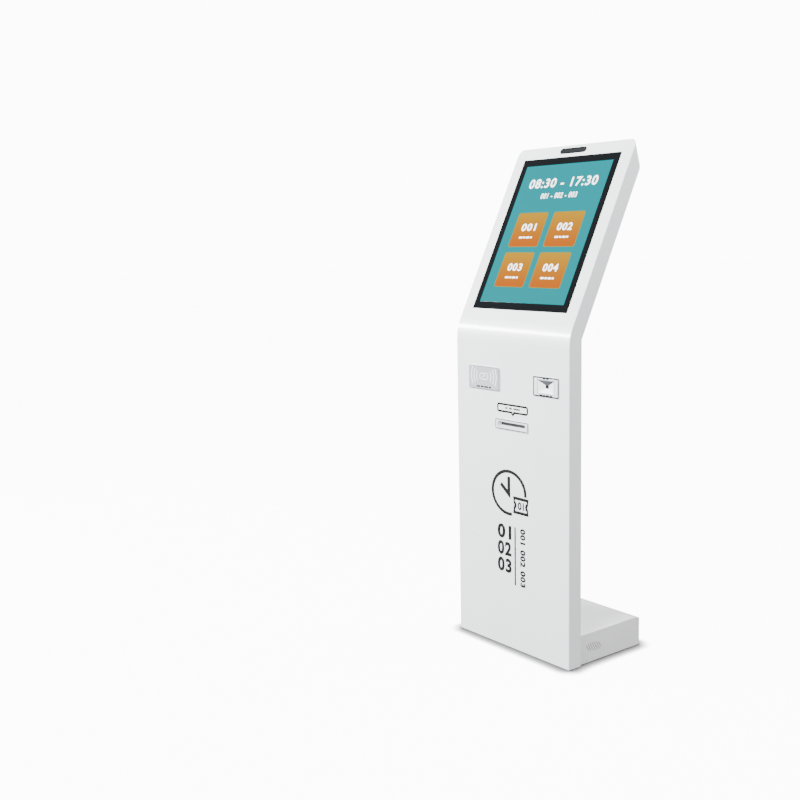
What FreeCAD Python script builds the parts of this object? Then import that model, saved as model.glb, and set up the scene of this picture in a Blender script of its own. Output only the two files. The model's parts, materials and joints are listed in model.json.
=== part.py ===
"""Floor standing self-service queue ticket kiosk, in millimetres.

A thin sheet-metal column with a tilted touch-screen head stands on a low base box. The column holds a
card reader, a code scanner and a ticket mouth with its printer behind. +Z is up, the front faces -Y and
the origin is on the floor, at the middle of the kiosk's width and depth.

Frame words used below: x runs across the kiosk. On the head, "slope" is the distance up its front face
from the line where the column's front plane and the head's front plane meet, and "behind" is the depth
at right angles to that face.
"""
import FreeCAD, Part
import math
import os
import re

import Sketcher
from FreeCAD import Placement, Rotation, Vector

# Driving sizes: alias, value in millimetres, degrees or a count, and what it is.
SIZES = [
    ("body_width", 410, "width of the column and the head"),
    ("total_depth", 278, "from the column's front face to the back of the base"),
    ("bend_height", 833, "height where the two front planes meet"),
    ("head_tilt", 26.7, "lean of the head's face from the vertical, degrees"),
    ("head_length", 528, "length of the head's face from the bend line"),
    ("body_thickness", 42, "depth of the column and the head"),
    ("end_bevel", 44, "how far the head's top end runs down to its back edge"),
    ("bend_radius", 120, "outer radius of the front bend"),
    ("corner_radius", 18, "round of the head's top corners"),
    ("edge_radius", 2, "fold radius of the front edges"),
    ("shell_wall", 2, "sheet thickness of shells and covers"),
    ("fit_gap", 0.3, "gap between neighbouring pieces"),
    ("running_gap", 0.05, "radial clearance of a shaft in its bore"),
    ("foot_height", 3, "height of the rubber feet"),
    ("foot_radius", 15, "radius of the rubber feet"),
    ("foot_inset_x", 170, "feet from the middle, across"),
    ("foot_inset_y", 112, "feet from the middle, front to back"),
    ("base_height", 80, "top of the base box"),
    ("base_inset", 6, "base narrower than the column, each side"),
    ("base_strip", 27, "depth of the sloped strip at the back of the base"),
    ("base_strip_drop", 8, "fall of that strip"),
    ("base_corner", 12, "rear corner radius of the base"),
    ("plate_thickness", 6, "steel base plate"),
    ("plate_gap", 0.5, "gap between the base plate and the shells"),
    ("anchor_spacing_x", 300, "floor anchor holes, across"),
    ("anchor_spacing_y", 180, "floor anchor holes, front to back"),
    ("anchor_hole", 5.5, "radius of an anchor hole"),
    ("cable_hole", 22, "radius of the floor cable hole"),
    ("vent_count", 7, "slanted vent slots in the base's side"),
    ("vent_pitch", 7.5, "pitch of the vent slots"),
    ("vent_width", 2.6, "width of a vent slot, along the base"),
    ("vent_height", 24, "height of the longest vent slot"),
    ("vent_lean", 14, "how far a vent slot leans over its height"),
    ("vent_y", 97, "middle of the vent patch behind the front face"),
    ("vent_z", 40, "middle of the vent patch above the floor"),
    ("glass_side", 35, "touch glass from the head's side"),
    ("glass_bottom", 59.5, "slope where the glass starts"),
    ("glass_top", 37.5, "touch glass from the head's top end"),
    ("glass_thickness", 3, "touch glass thickness"),
    ("border_side", 19, "printed glass border beside the lit screen"),
    ("border_end", 20, "printed glass border above and below the lit screen"),
    ("screen_frame", 9, "display case beyond the lit screen, each side"),
    ("display_depth", 12, "display case depth"),
    ("bracket_height", 28, "display bracket height"),
    ("bracket_inset", 50, "display bracket from the display's end"),
    ("bracket_thickness", 3, "display bracket thickness"),
    ("rail_width", 18, "frame rail width"),
    ("rail_wall", 2, "frame rail wall"),
    ("rail_margin", 5, "frame rail from the side wall"),
    ("rail_end_gap", 30, "frame rails stop this far from the bend line"),
    ("sensor_length", 92, "sensor window length"),
    ("sensor_height", 16, "sensor window height"),
    ("sensor_from_end", 20, "middle of the sensor window from the head's top end"),
    ("sensor_proud", 0.6, "sensor window in front of the face"),
    ("sensor_board_length", 60, "sensor board length"),
    ("sensor_board_height", 9, "sensor board height"),
    ("sensor_board_depth", 7, "sensor board depth"),
    ("reader_width", 117, "card pad width"),
    ("reader_height", 62, "card pad height"),
    ("reader_from_side", 109, "middle of the card pad from the column's left side"),
    ("reader_z", 709, "card pad middle height"),
    ("reader_proud", 3, "card pad in front of the face"),
    ("reader_corner", 6, "card pad corner radius"),
    ("reader_edge", 1, "card pad edge chamfer"),
    ("reader_board_margin", 9, "card antenna board inside the pad's edge"),
    ("reader_board_depth", 5, "card antenna board with its case"),
    ("scanner_width", 88, "scanner bezel width"),
    ("scanner_height", 50, "scanner bezel height"),
    ("scanner_from_side", 78, "middle of the scanner from the column's right side"),
    ("scanner_z", 705, "scanner bezel middle height"),
    ("scanner_proud", 1.5, "scanner bezel in front of the face"),
    ("scanner_corner", 4, "scanner bezel corner radius"),
    ("scanner_rim", 5, "scanner flange over the opening's edge"),
    ("scanner_mouth_width", 56, "scanner recess width at the face"),
    ("scanner_mouth_height", 32, "scanner recess height at the face"),
    ("scanner_throat_width", 13, "scanner recess width at its floor"),
    ("scanner_throat_height", 9, "scanner recess height at its floor"),
    ("scanner_recess", 17, "scanner recess depth"),
    ("scanner_floor", 2, "wall behind the scanner recess"),
    ("scanner_body_width", 52, "scanner body width"),
    ("scanner_body_height", 34, "scanner body height"),
    ("scanner_body_depth", 14, "scanner body depth"),
    ("lens_depth", 1.5, "scanner lens thickness"),
    ("mouth_width", 120, "ticket mouth plate width"),
    ("mouth_height", 27, "ticket mouth plate height"),
    ("mouth_proud", 2, "ticket mouth plate in front of the face"),
    ("mouth_corner", 4, "ticket mouth plate corner radius"),
    ("mouth_rim", 6, "ticket mouth flange over the opening's edge"),
    ("mouth_body", 10, "ticket mouth body behind the face"),
    ("mouth_recess_width", 100, "ticket recess width at the face"),
    ("mouth_recess_height", 14, "ticket recess height at the face"),
    ("mouth_throat_height", 7, "ticket recess height at its floor"),
    ("mouth_recess", 7, "ticket recess depth"),
    ("lip_length", 92, "lower lip length"),
    ("lip_height", 3, "lower lip height"),
    ("lip_proud", 3, "lower lip in front of the face"),
    ("ticket_x", 5, "middle of the ticket mouth and the printer"),
    ("ticket_z", 595, "height of the ticket slot"),
    ("ticket_slot_width", 84, "ticket slot width"),
    ("ticket_slot_height", 2.4, "ticket slot height"),
    ("bay_width", 300, "printer housing width"),
    ("bay_bottom", 300, "printer housing bottom"),
    ("bay_top", 760, "printer housing top"),
    ("bay_depth", 44, "printer housing depth behind the column"),
    ("door_gap", 0.5, "door edge inside the housing's outline"),
    ("door_flange", 5, "depth of the door's folded flange"),
    ("door_corner", 4, "door corner radius"),
    ("hinge_offset", 5, "hinge axis outside the housing's side"),
    ("hinge_radius", 4, "hinge knuckle radius"),
    ("hinge_pin", 2, "hinge pin radius"),
    ("hinge_leaf", 1.5, "hinge leaf thickness"),
    ("hinge_leaf_length", 22, "hinge leaf length on its panel"),
    ("knuckle_height", 20, "height of one hinge knuckle"),
    ("hinge_low", 380, "middle of the lower hinge"),
    ("hinge_high", 680, "middle of the upper hinge"),
    ("lock_x", 125, "lock middle"),
    ("lock_z", 530, "lock height"),
    ("lock_sleeve", 9, "lock sleeve radius"),
    ("lock_flange", 11.5, "lock flange radius"),
    ("lock_plug", 6, "lock plug radius"),
    ("lock_depth", 7, "lock sleeve behind the door's outer face"),
    ("cam_length", 21, "lock cam reach"),
    ("cam_width", 8, "lock cam width"),
    ("cam_thickness", 2, "lock cam thickness"),
    ("keeper_reach", 9, "lock keeper reach from the housing's side"),
    ("keeper_height", 24, "lock keeper height"),
    ("keeper_thickness", 1.5, "lock keeper thickness"),
    ("shelf_thickness", 2.5, "printer shelf thickness"),
    ("shelf_top", 567.5, "printer shelf top"),
    ("shelf_front", 46, "printer shelf front edge behind the front face"),
    ("shelf_back", 76, "printer shelf back edge behind the front face"),
    ("chassis_width", 100, "printer chassis outer width"),
    ("chassis_front", 14, "printer chassis front behind the front face"),
    ("chassis_back", 72, "printer chassis back behind the front face"),
    ("chassis_height", 64, "printer chassis side height"),
    ("chassis_ear", 8, "height of the chassis ears for the lid pin"),
    ("platen_radius", 8, "platen rubber radius"),
    ("platen_length", 84, "platen rubber length"),
    ("platen_shaft", 3, "platen shaft radius"),
    ("platen_y", 34, "platen axis behind the front face"),
    ("gear_module", 1, "tooth size of the printer gears"),
    ("platen_teeth", 28, "platen gear teeth"),
    ("pinion_teeth", 14, "motor pinion teeth"),
    ("gear_width", 5, "gear face width"),
    ("gear_gap", 2, "gears outside the chassis side"),
    ("motor_radius", 12, "motor radius"),
    ("motor_length", 29, "motor length"),
    ("motor_shaft", 1.5, "motor shaft radius"),
    ("head_block_height", 9, "print head block height"),
    ("head_block_depth", 10, "print head block depth"),
    ("cutter_height", 46, "cutter frame height"),
    ("cutter_front", 15, "cutter frame front behind the front face"),
    ("cutter_depth", 7, "cutter frame depth"),
    ("blade_thickness", 1, "cutter blade thickness"),
    ("blade_height", 16, "cutter blade height"),
    ("blade_rest", 3, "cutter blade above the ticket at rest"),
    ("blade_travel", 7, "cutter blade stroke"),
    ("paper_gap", 3, "gap for the ticket through the cutter"),
    ("lid_thickness", 2, "printer lid thickness"),
    ("lid_pin", 1.5, "printer lid pin radius"),
    ("lid_barrel", 3, "printer lid barrel radius"),
    ("lid_y", 27, "printer lid pin behind the front face"),
    ("lever_length", 26, "release lever length"),
    ("lever_width", 8, "release lever width"),
    ("lever_thickness", 3, "release lever thickness"),
    ("lever_pin", 2, "release lever pin radius"),
    ("lever_y", 60, "release lever pin behind the front face"),
    ("lever_z", 620, "release lever pin height"),
    ("roll_radius", 34, "paper roll radius"),
    ("roll_width", 80, "paper roll width"),
    ("roll_y", 42, "paper roll axis behind the front face"),
    ("roll_z", 490, "paper roll axis height"),
    ("spindle_radius", 6, "paper spindle radius"),
    ("spindle_gap", 0.3, "paper core over the spindle"),
    ("roll_bracket_gap", 12, "roll bracket beyond the roll"),
    ("roll_bracket_width", 26, "roll bracket width"),
    ("controller_width", 130, "controller box width"),
    ("controller_depth", 130, "controller box depth"),
    ("controller_height", 40, "controller box height"),
    ("controller_x", -90, "controller box middle"),
    ("controller_y", 20, "controller box middle"),
    ("fin_count", 9, "cooling fins on the controller box"),
    ("fin_height", 8, "fin height"),
    ("fin_thickness", 2.4, "fin thickness"),
    ("supply_width", 90, "power supply width"),
    ("supply_depth", 110, "power supply depth"),
    ("supply_height", 34, "power supply height"),
    ("supply_x", 62, "power supply middle"),
    ("supply_y", 38, "power supply middle"),
    ("fan_size", 50, "fan frame side"),
    ("fan_depth", 12, "fan frame depth"),
    ("fan_bore", 23.5, "fan frame bore radius"),
    ("fan_tip", 22.5, "fan blade tip radius"),
    ("fan_hub", 9, "fan hub radius"),
    ("fan_blades", 7, "fan blades"),
    ("inlet_x", -96, "power inlet middle"),
    ("inlet_z", 38, "power inlet and switch height"),
    ("inlet_width", 27, "power inlet body width"),
    ("inlet_height", 20, "power inlet body height"),
    ("inlet_flange", 3, "inlet and switch flange"),
    ("inlet_depth", 22, "power inlet depth inside"),
    ("switch_x", -56, "power switch middle"),
    ("switch_width", 14, "power switch body width"),
    ("switch_height", 20, "power switch body height"),
    ("rocker_radius", 9, "rocker radius"),
    ("rocker_width", 9, "rocker width"),
    ("rocker_half", 7.6, "half of the rocker's height"),
    ("screw_head", 3.5, "cover screw head radius"),
    ("screw_head_height", 1.4, "cover screw head height"),
    ("screw_shank", 2, "cover screw shank radius"),
    ("screw_length", 6, "cover screw length"),
    ("screw_inset", 12, "cover screws from the cover's edge"),
    ("slot_count", 12, "cooling slots in the head's back cover"),
    ("slot_pitch", 14, "pitch of those slots"),
    ("slot_width", 4, "width of a cooling slot"),
    ("slot_length", 60, "length of a cooling slot"),
]
ALIASES = {alias for alias, _, _ in SIZES}

# Places worked out from the driving sizes, as sheet expressions.
FRONT = "(-total_depth / 2)"
REAR = "(total_depth / 2)"
COLUMN_BACK = f"({FRONT} + body_thickness)"
INNER_SIDE = "(body_width / 2 - shell_wall)"
COVER_SIDE = "(body_width / 2 - shell_wall - fit_gap)"
FOLD = "tan(head_tilt / 2)"
END_FALL = "(shell_wall * sqrt(1 + (end_bevel / body_thickness) ^ 2))"
PLATE_TOP = "(foot_height + plate_thickness)"
BASE_SIDE = "(body_width / 2 - base_inset)"
DOOR_INNER = f"({COLUMN_BACK} + bay_depth + fit_gap)"
DOOR_OUTER = f"({DOOR_INNER} + shell_wall)"
HINGE_X = "(-bay_width / 2 - hinge_offset)"
HINGE_Y = f"({DOOR_INNER} + shell_wall / 2)"
GLASS_WIDTH = "(body_width - 2 * glass_side)"
GLASS_HEIGHT = "(head_length - glass_bottom - glass_top)"
SCREEN_WIDTH = f"({GLASS_WIDTH} - 2 * border_side)"
SCREEN_HEIGHT = f"({GLASS_HEIGHT} - 2 * border_end)"
SENSOR_SLOPE = "(head_length - sensor_from_end)"
READER_X = "(reader_from_side - body_width / 2)"
SCANNER_X = "(body_width / 2 - scanner_from_side)"
PLATEN_Z = "(ticket_z - platen_radius)"
GEAR_SPAN = "(gear_module * (platen_teeth + pinion_teeth) / 2)"
GEAR_X = "(ticket_x + chassis_width / 2 + gear_gap)"

doc = FreeCAD.newDocument("queue_kiosk")
sheet = doc.addObject("Spreadsheet::Sheet", "Sheet")
nodes = []


def fill_sheet():
    """Write every driving size into the sheet as a plain number with its alias."""
    for row, (alias, value, note) in enumerate(SIZES, start=1):
        sheet.set(f"A{row}", alias)
        sheet.set(f"B{row}", str(value))
        sheet.set(f"C{row}", note)
        sheet.setAlias(f"B{row}", alias)
    doc.recompute()


def size(alias):
    """Return one driving size as a number, for shapes that are made point by point."""
    return float(sheet.get(alias))


def linked(text):
    """Return an expression with the sheet's name before each alias."""
    def name(match):
        word = match.group(0)
        return "Sheet." + word if word in ALIASES else word
    return re.sub(r"[a-z][a-z_]*[a-z]", name, text)


def bind(obj, prop, text):
    """Tie one property to an expression of the driving sizes."""
    obj.setExpression(prop, linked(str(text)))


def head_y(behind, slope):
    """Return the y expression of a point of the head."""
    return f"({FRONT} + ({slope}) * sin(head_tilt) + ({behind}) * cos(head_tilt))"


def head_z(behind, slope):
    """Return the z expression of a point of the head."""
    return f"(bend_height + ({slope}) * cos(head_tilt) - ({behind}) * sin(head_tilt))"


def head_point(x, behind, slope):
    """Return a point of the head as numbers."""
    lean = math.radians(size("head_tilt"))
    y = -size("total_depth") / 2 + slope * math.sin(lean) + behind * math.cos(lean)
    z = size("bend_height") + slope * math.cos(lean) - behind * math.sin(lean)
    return Vector(x, y, z)


def put(obj, at, on_head=False, turn=None):
    """Place an object; at is x, y, z, or x, behind, slope when on_head is set."""
    axis, angle = turn or (Vector(-1, 0, 0), "0")
    if on_head:
        axis, angle = Vector(-1, 0, 0), f"head_tilt + {angle}"
        at = (at[0], head_y(at[1], at[2]), head_z(at[1], at[2]))
    obj.Placement = Placement(Vector(), Rotation(axis, 1))
    bind(obj, "Placement.Rotation.Angle", angle)
    for letter, text in zip("xyz", at):
        bind(obj, "Placement.Base." + letter, text)


def box(name, spans, on_head=False):
    """Make a box from its low and high limits along x, y and z, or x, behind and slope."""
    obj = doc.addObject("Part::Box", name)
    for prop, (low, high) in zip(("Length", "Width", "Height"), spans):
        bind(obj, prop, f"({high}) - ({low})")
    put(obj, [low for low, _ in spans], on_head)
    return obj


def rod(name, radius, length, at, along="z", on_head=False):
    """Make a cylinder that starts at a point and runs along x, y (or behind) or z."""
    turns = {"x": (Vector(0, 1, 0), "90"), "y": (Vector(-1, 0, 0), "90"), "z": None}
    obj = doc.addObject("Part::Cylinder", name)
    bind(obj, "Radius", radius)
    bind(obj, "Height", length)
    put(obj, at, on_head, turns[along])
    return obj


def centred(middle, width):
    """Return the low and high limits of a width about a middle."""
    return (f"({middle}) - ({width}) / 2", f"({middle}) + ({width}) / 2")


def behind_front(low, high):
    """Return y limits given as distances behind the front face."""
    return (f"{FRONT} + ({low})", f"{FRONT} + ({high})")


def fuse(name, pieces):
    """Join pieces into one solid."""
    obj = doc.addObject("Part::MultiFuse", name)
    obj.Shapes = pieces
    obj.Refine = True
    return obj


def group(name, pieces):
    """Keep alike solids together as one object."""
    obj = doc.addObject("Part::Compound", name)
    obj.Links = pieces
    return obj


def cut(name, base, tools):
    """Take one tool or several out of a base."""
    tool = tools[0] if len(tools) == 1 else fuse(name + "_tools", tools)
    obj = doc.addObject("Part::Cut", name)
    obj.Base = base
    obj.Tool = tool
    return obj


def node(obj, label):
    """Register an object as a finished sub-part under its label."""
    obj.Label = label
    nodes.append(obj)
    return obj


def sketch(body, role, name, shift=None, on_head=False):
    """Attach a sketch to one of the body's own origin planes, shifted along the plane's normal.

    With on_head the sketch of the XZ plane lies on the head's face: its x and y are x and slope.
    """
    plane = next(item for item in body.Origin.OriginFeatures if item.Role == role)
    made = body.newObject("Sketcher::SketchObject", name)
    made.AttachmentSupport = [(plane, "")]
    made.MapMode = "FlatFace"
    if on_head:
        made.AttachmentOffset = Placement(Vector(), Rotation(Vector(-1, 0, 0), 1))
        bind(made, "AttachmentOffset.Base.y", "bend_height")
        bind(made, "AttachmentOffset.Base.z", f"-{FRONT}")
        bind(made, "AttachmentOffset.Rotation.Angle", "head_tilt")
        if shift:
            bind(made, "AttachmentOffset.Base.y", f"bend_height - ({shift}) * sin(head_tilt)")
            bind(made, "AttachmentOffset.Base.z", f"-{FRONT} - ({shift}) * cos(head_tilt)")
    elif shift:
        bind(made, "AttachmentOffset.Base.z", shift)
    return made


def outline(made, points, start=None, bend=None):
    """Draw a closed outline of straight edges, each corner held by two expressions.

    start gives rough corner places as numbers. bend makes one edge a clockwise arc: the edge's index,
    its centre as two numbers and its radius as an expression.
    """
    first = made.GeometryCount
    count = len(points)
    corners = []
    for index in range(count):
        angle = 2 * math.pi * index / count
        across, up = start[index] if start else (100 * math.cos(angle), 100 * math.sin(angle))
        corners.append(Vector(across, up, 0))
    curved = bend[0] if bend else None
    for index in range(count):
        here, there = corners[index], corners[(index + 1) % count]
        if index == curved:
            middle = Vector(*bend[1], 0)
            ring = Part.Circle(middle, Vector(0, 0, 1), (here - middle).Length)
            angles = [math.atan2(end.y - middle.y, end.x - middle.x) for end in (there, here)]
            made.addGeometry(Part.ArcOfCircle(ring, angles[0], angles[1]))
        else:
            made.addGeometry(Part.LineSegment(here, there))
    starts = [2 if index == curved else 1 for index in range(count)]
    for index in range(count):
        after = (index + 1) % count
        joint = (first + index, 3 - starts[index], first + after, starts[after])
        made.addConstraint(Sketcher.Constraint("Coincident", *joint))
    for index, (across, up) in enumerate(points):
        for kind, value, text in (("DistanceX", corners[index].x, across), ("DistanceY", corners[index].y, up)):
            held = made.addConstraint(Sketcher.Constraint(kind, first + index, starts[index], value))
            bind(made, f"Constraints[{held}]", text)
    if bend:
        radius = (corners[curved] - Vector(*bend[1], 0)).Length
        held = made.addConstraint(Sketcher.Constraint("Radius", first + curved, radius))
        bind(made, f"Constraints[{held}]", bend[2])


def rectangle(made, across, up):
    """Draw a rectangle from its low and high limits both ways."""
    outline(made, [(across[0], up[0]), (across[1], up[0]), (across[1], up[1]), (across[0], up[1])])


def circle(made, radius, at):
    """Draw a circle with a bound radius and centre."""
    index = made.addGeometry(Part.Circle(Vector(10, 10, 0), Vector(0, 0, 1), 5))
    for kind, point, start, text in (("DistanceX", 3, 10, at[0]), ("DistanceY", 3, 10, at[1])):
        held = made.addConstraint(Sketcher.Constraint(kind, index, point, start))
        bind(made, f"Constraints[{held}]", text)
    held = made.addConstraint(Sketcher.Constraint("Radius", index, 5))
    bind(made, f"Constraints[{held}]", radius)


def pad(body, profile, length, midplane=False, reverse=False):
    """Raise a sketch into material and check that it added some."""
    made = body.newObject("PartDesign::Pad", profile.Name + "_pad")
    made.Profile = profile
    made.Midplane = midplane
    made.Reversed = reverse
    bind(made, "Length", length)
    profile.Visibility = False
    doc.recompute()
    return made


def pocket(body, profile, length, midplane=False, reverse=False):
    """Cut a sketch out of the body and check that it took material away."""
    before = body.Shape.Volume
    made = body.newObject("PartDesign::Pocket", profile.Name + "_pocket")
    made.Profile = profile
    made.Midplane = midplane
    made.Reversed = reverse
    bind(made, "Length", length)
    doc.recompute()
    if body.Shape.Volume > before - 1e-3:
        raise RuntimeError(f"{made.Name} cut nothing")
    return made


def edges_near(shape, points, reach=0.05):
    """Return the names of the edges whose middle lies at one of the points."""
    found = []
    for index, edge in enumerate(shape.Edges, start=1):
        middle = edge.valueAt((edge.FirstParameter + edge.LastParameter) / 2)
        if any(middle.distanceToPoint(point) < reach for point in points):
            found.append(f"Edge{index}")
    if len(found) < len(points):
        raise RuntimeError(f"found {len(found)} of {len(points)} edges")
    return found


def edges_where(shape, test):
    """Return the names of the edges whose middle and direction pass a test."""
    found = []
    for index, edge in enumerate(shape.Edges, start=1):
        middle = edge.valueAt((edge.FirstParameter + edge.LastParameter) / 2)
        way = edge.tangentAt((edge.FirstParameter + edge.LastParameter) / 2)
        if test(middle, way):
            found.append(f"Edge{index}")
    return found


def fillet(body, names, radius):
    """Round named edges of the body's last feature."""
    last = body.Tip
    made = body.newObject("PartDesign::Fillet", body.Name + "_round")
    made.Base = (last, names)
    bind(made, "Radius", radius)
    doc.recompute()
    return made


def end_slope(behind, wall=False):
    """Return the slope expression of the head's bevelled end, or of its inner face."""
    fall = f" - {END_FALL}" if wall else ""
    return f"(head_length - end_bevel * ({behind}) / body_thickness{fall})"


def make_front_shell():
    """Folded sheet that is the front, sides and top end of column and head in one."""
    body = doc.addObject("PartDesign::Body", "front_shell")
    back_turn = f"(bend_height - body_thickness * {FOLD})"
    start_of_bend = f"bend_radius * {FOLD}"
    half = size("body_width") / 2
    wall = size("shell_wall")
    thick = size("body_thickness")
    length = size("head_length")
    bevel = size("end_bevel")
    lean = math.radians(size("head_tilt"))
    run = size("bend_radius") * math.tan(lean / 2)
    centre = (size("bend_radius") - size("total_depth") / 2, size("bend_height") - run)

    def rough(behind, slope):
        """Return a rough sketch corner on the head."""
        point = head_point(0, behind, slope)
        return (point.y, point.z)
    face = -size("total_depth") / 2
    side = sketch(body, "YZ_Plane", "shell_side")
    outline(side, [
        (FRONT, "foot_height"),
        (FRONT, f"bend_height - {start_of_bend}"),
        (head_y("0", start_of_bend), head_z("0", start_of_bend)),
        (head_y("0", "head_length"), head_z("0", "head_length")),
        (head_y("body_thickness", end_slope("body_thickness")),
         head_z("body_thickness", end_slope("body_thickness"))),
        (COLUMN_BACK, back_turn),
        (COLUMN_BACK, "foot_height"),
    ], start=[(face, 0), (face, centre[1]), rough(0, run), rough(0, length), rough(thick, length - bevel),
              (face + thick, centre[1]), (face + thick, 0)], bend=(1, centre, "bend_radius"))
    pad(body, side, "body_width", midplane=True)

    past = "(body_thickness + shell_wall)"
    below = "(foot_height - shell_wall)"
    hollow = sketch(body, "YZ_Plane", "shell_hollow")
    outline(hollow, [
        (f"{FRONT} + shell_wall", below),
        (f"{FRONT} + shell_wall", f"bend_height - {start_of_bend}"),
        (head_y("shell_wall", start_of_bend), head_z("shell_wall", start_of_bend)),
        (head_y("shell_wall", end_slope("shell_wall", True)), head_z("shell_wall", end_slope("shell_wall", True))),
        (head_y(past, end_slope(past, True)), head_z(past, end_slope(past, True))),
        (f"{FRONT} + {past}", f"bend_height - {past} * {FOLD}"),
        (f"{FRONT} + {past}", below),
    ], start=[(face + wall, 0), (face + wall, centre[1]), rough(wall, run), rough(wall, length),
              rough(thick, length - bevel), (face + thick, centre[1]), (face + thick, 0)],
        bend=(1, centre, "bend_radius - shell_wall"))
    pocket(body, hollow, "body_width - 2 * shell_wall", midplane=True)
    fall = wall * math.sqrt(1 + (bevel / thick) ** 2)
    middle = (wall + thick) / 2
    inner = [head_point(x, middle, length - bevel * middle / thick - fall) for x in (wall - half, half - wall)]
    fillet(body, edges_near(body.Shape, inner), "corner_radius - shell_wall")
    ends = [head_point(x, thick / 2, length - bevel / 2) for x in (-half, half)]
    fillet(body, edges_near(body.Shape, ends), "corner_radius")

    screen = sketch(body, "XZ_Plane", "screen_opening", on_head=True)
    rectangle(screen, centred("0", f"{GLASS_WIDTH} + 2 * fit_gap"),
              ("glass_bottom - fit_gap", f"glass_bottom + {GLASS_HEIGHT} + fit_gap"))
    pocket(body, screen, "shell_wall * 2")
    sensor = sketch(body, "XZ_Plane", "sensor_opening", on_head=True)
    rectangle(sensor, centred("0", "sensor_length - sensor_height"), centred(SENSOR_SLOPE, "sensor_height / 2"))
    pocket(body, sensor, "shell_wall * 2")
    front = sketch(body, "XZ_Plane", "front_openings", shift=f"-{FRONT}")
    rectangle(front, centred(SCANNER_X, "scanner_width - 2 * scanner_rim"),
              centred("scanner_z", "scanner_height - 2 * scanner_rim"))
    rectangle(front, centred("ticket_x", "mouth_width - 2 * mouth_rim"),
              centred("ticket_z", "mouth_height - mouth_rim"))
    rectangle(front, centred(READER_X, "reader_width / 3"), centred("reader_z", "reader_height / 4"))
    pocket(body, front, "shell_wall * 2")

    def front_fold(middle, way):
        """Tell whether an edge is one of the two long vertical front folds."""
        return (abs(abs(middle.x) - half) < 0.01 and abs(way.z) > 0.99
                and abs(middle.y + size("total_depth") / 2) < 0.01)
    fillet(body, edges_where(body.Shape, front_fold), "edge_radius")
    node(body, "front_shell")


def make_head_back_cover():
    """Flat cover between the head's folded sides, with two banks of cooling slots."""
    body = doc.addObject("PartDesign::Body", "head_back_cover")
    low = f"(body_thickness * {FOLD} + fit_gap)"
    high = f"({end_slope('body_thickness', True)} - fit_gap)"
    plate = sketch(body, "XZ_Plane", "cover_plate", shift="body_thickness", on_head=True)
    rectangle(plate, centred("0", f"2 * {COVER_SIDE}"), (low, high))
    pad(body, plate, "shell_wall")
    middle_height = head_point(0, 0, size("head_length") / 2).z

    def top_corner(middle, way):
        """Tell whether an edge runs through the sheet at one of the two top corners."""
        through = abs(way.x) < 0.01 and way.y * way.z < -0.01 and abs(way.y) > abs(way.z)
        return through and middle.z > middle_height
    stretch = "sqrt(1 + (end_bevel / body_thickness) ^ 2)"
    fillet(body, edges_where(body.Shape, top_corner), f"(corner_radius - shell_wall) * {stretch}")
    holes = sketch(body, "XZ_Plane", "cover_holes", shift="body_thickness", on_head=True)
    for across in (f"screw_inset - {COVER_SIDE}", f"{COVER_SIDE} - screw_inset"):
        for up in (f"{low} + screw_inset", f"{high} - screw_inset"):
            circle(holes, "screw_shank + fit_gap", (across, up))
    pocket(body, holes, "shell_wall * 2", reverse=False, midplane=True)
    slot = sketch(body, "XZ_Plane", "cooling_slot", shift="body_thickness", on_head=True)
    start = "(0 - slot_pitch * (slot_count - 1) / 2)"
    for up in ("head_length * 0.25", "head_length * 0.65"):
        rectangle(slot, centred(start, "slot_width"), centred(up, "slot_length"))
    first = pocket(body, slot, "shell_wall * 2", midplane=True)
    row = body.newObject("PartDesign::LinearPattern", "cooling_slots")
    row.Originals = [first]
    row.Direction = (slot, ["H_Axis"])
    bind(row, "Length", "slot_pitch * (slot_count - 1)")
    bind(row, "Occurrences", "slot_count")
    body.Tip = row
    doc.recompute()
    node(body, "head_back_cover")
    screws = []
    for side, across in enumerate((f"screw_inset - {COVER_SIDE}", f"{COVER_SIDE} - screw_inset")):
        for end, up in enumerate((f"{low} + screw_inset", f"{high} - screw_inset")):
            name = f"head_screw_{side}{end}"
            shank = rod(name + "_shank", "screw_shank", "screw_length",
                        (across, "body_thickness - screw_length", up), "y", on_head=True)
            cap = rod(name + "_cap", "screw_head", "screw_head_height", (across, "body_thickness", up), "y",
                      on_head=True)
            screws.append(fuse(name, [shank, cap]))
    node(group("head_cover_screws", screws), "head_cover_screws")


def make_column_back_cover():
    """Flat cover on the column's back, open where the printer housing stands on it."""
    body = doc.addObject("PartDesign::Body", "column_back_cover")
    low = "(base_height + fit_gap)"
    high = f"(bend_height - body_thickness * {FOLD} - fit_gap)"
    plate = sketch(body, "XZ_Plane", "column_plate", shift=f"0 - {COLUMN_BACK}")
    rectangle(plate, centred("0", f"2 * {COVER_SIDE}"), (low, high))
    pad(body, plate, "shell_wall")
    inner = sketch(body, "XZ_Plane", "column_openings", shift=f"0 - {COLUMN_BACK}")
    rectangle(inner, centred("0", "bay_width - 2 * shell_wall"),
              ("bay_bottom + shell_wall", "bay_top - shell_wall"))
    for across in (f"screw_inset - {COVER_SIDE}", f"{COVER_SIDE} - screw_inset"):
        for up in (f"{low} + screw_inset", f"{high} - screw_inset"):
            circle(inner, "screw_shank + fit_gap", (across, up))
    pocket(body, inner, "shell_wall * 3", midplane=True)
    node(body, "column_back_cover")
    screws = []
    for side, across in enumerate((f"screw_inset - {COVER_SIDE}", f"{COVER_SIDE} - screw_inset")):
        for end, up in enumerate((f"{low} + screw_inset", f"{high} - screw_inset")):
            name = f"column_screw_{side}{end}"
            shank = rod(name + "_shank", "screw_shank", "screw_length",
                        (across, f"{COLUMN_BACK} - screw_length", up), "y")
            cap = rod(name + "_cap", "screw_head", "screw_head_height", (across, COLUMN_BACK, up), "y")
            screws.append(fuse(name, [shank, cap]))
    node(group("column_cover_screws", screws), "column_cover_screws")


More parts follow.
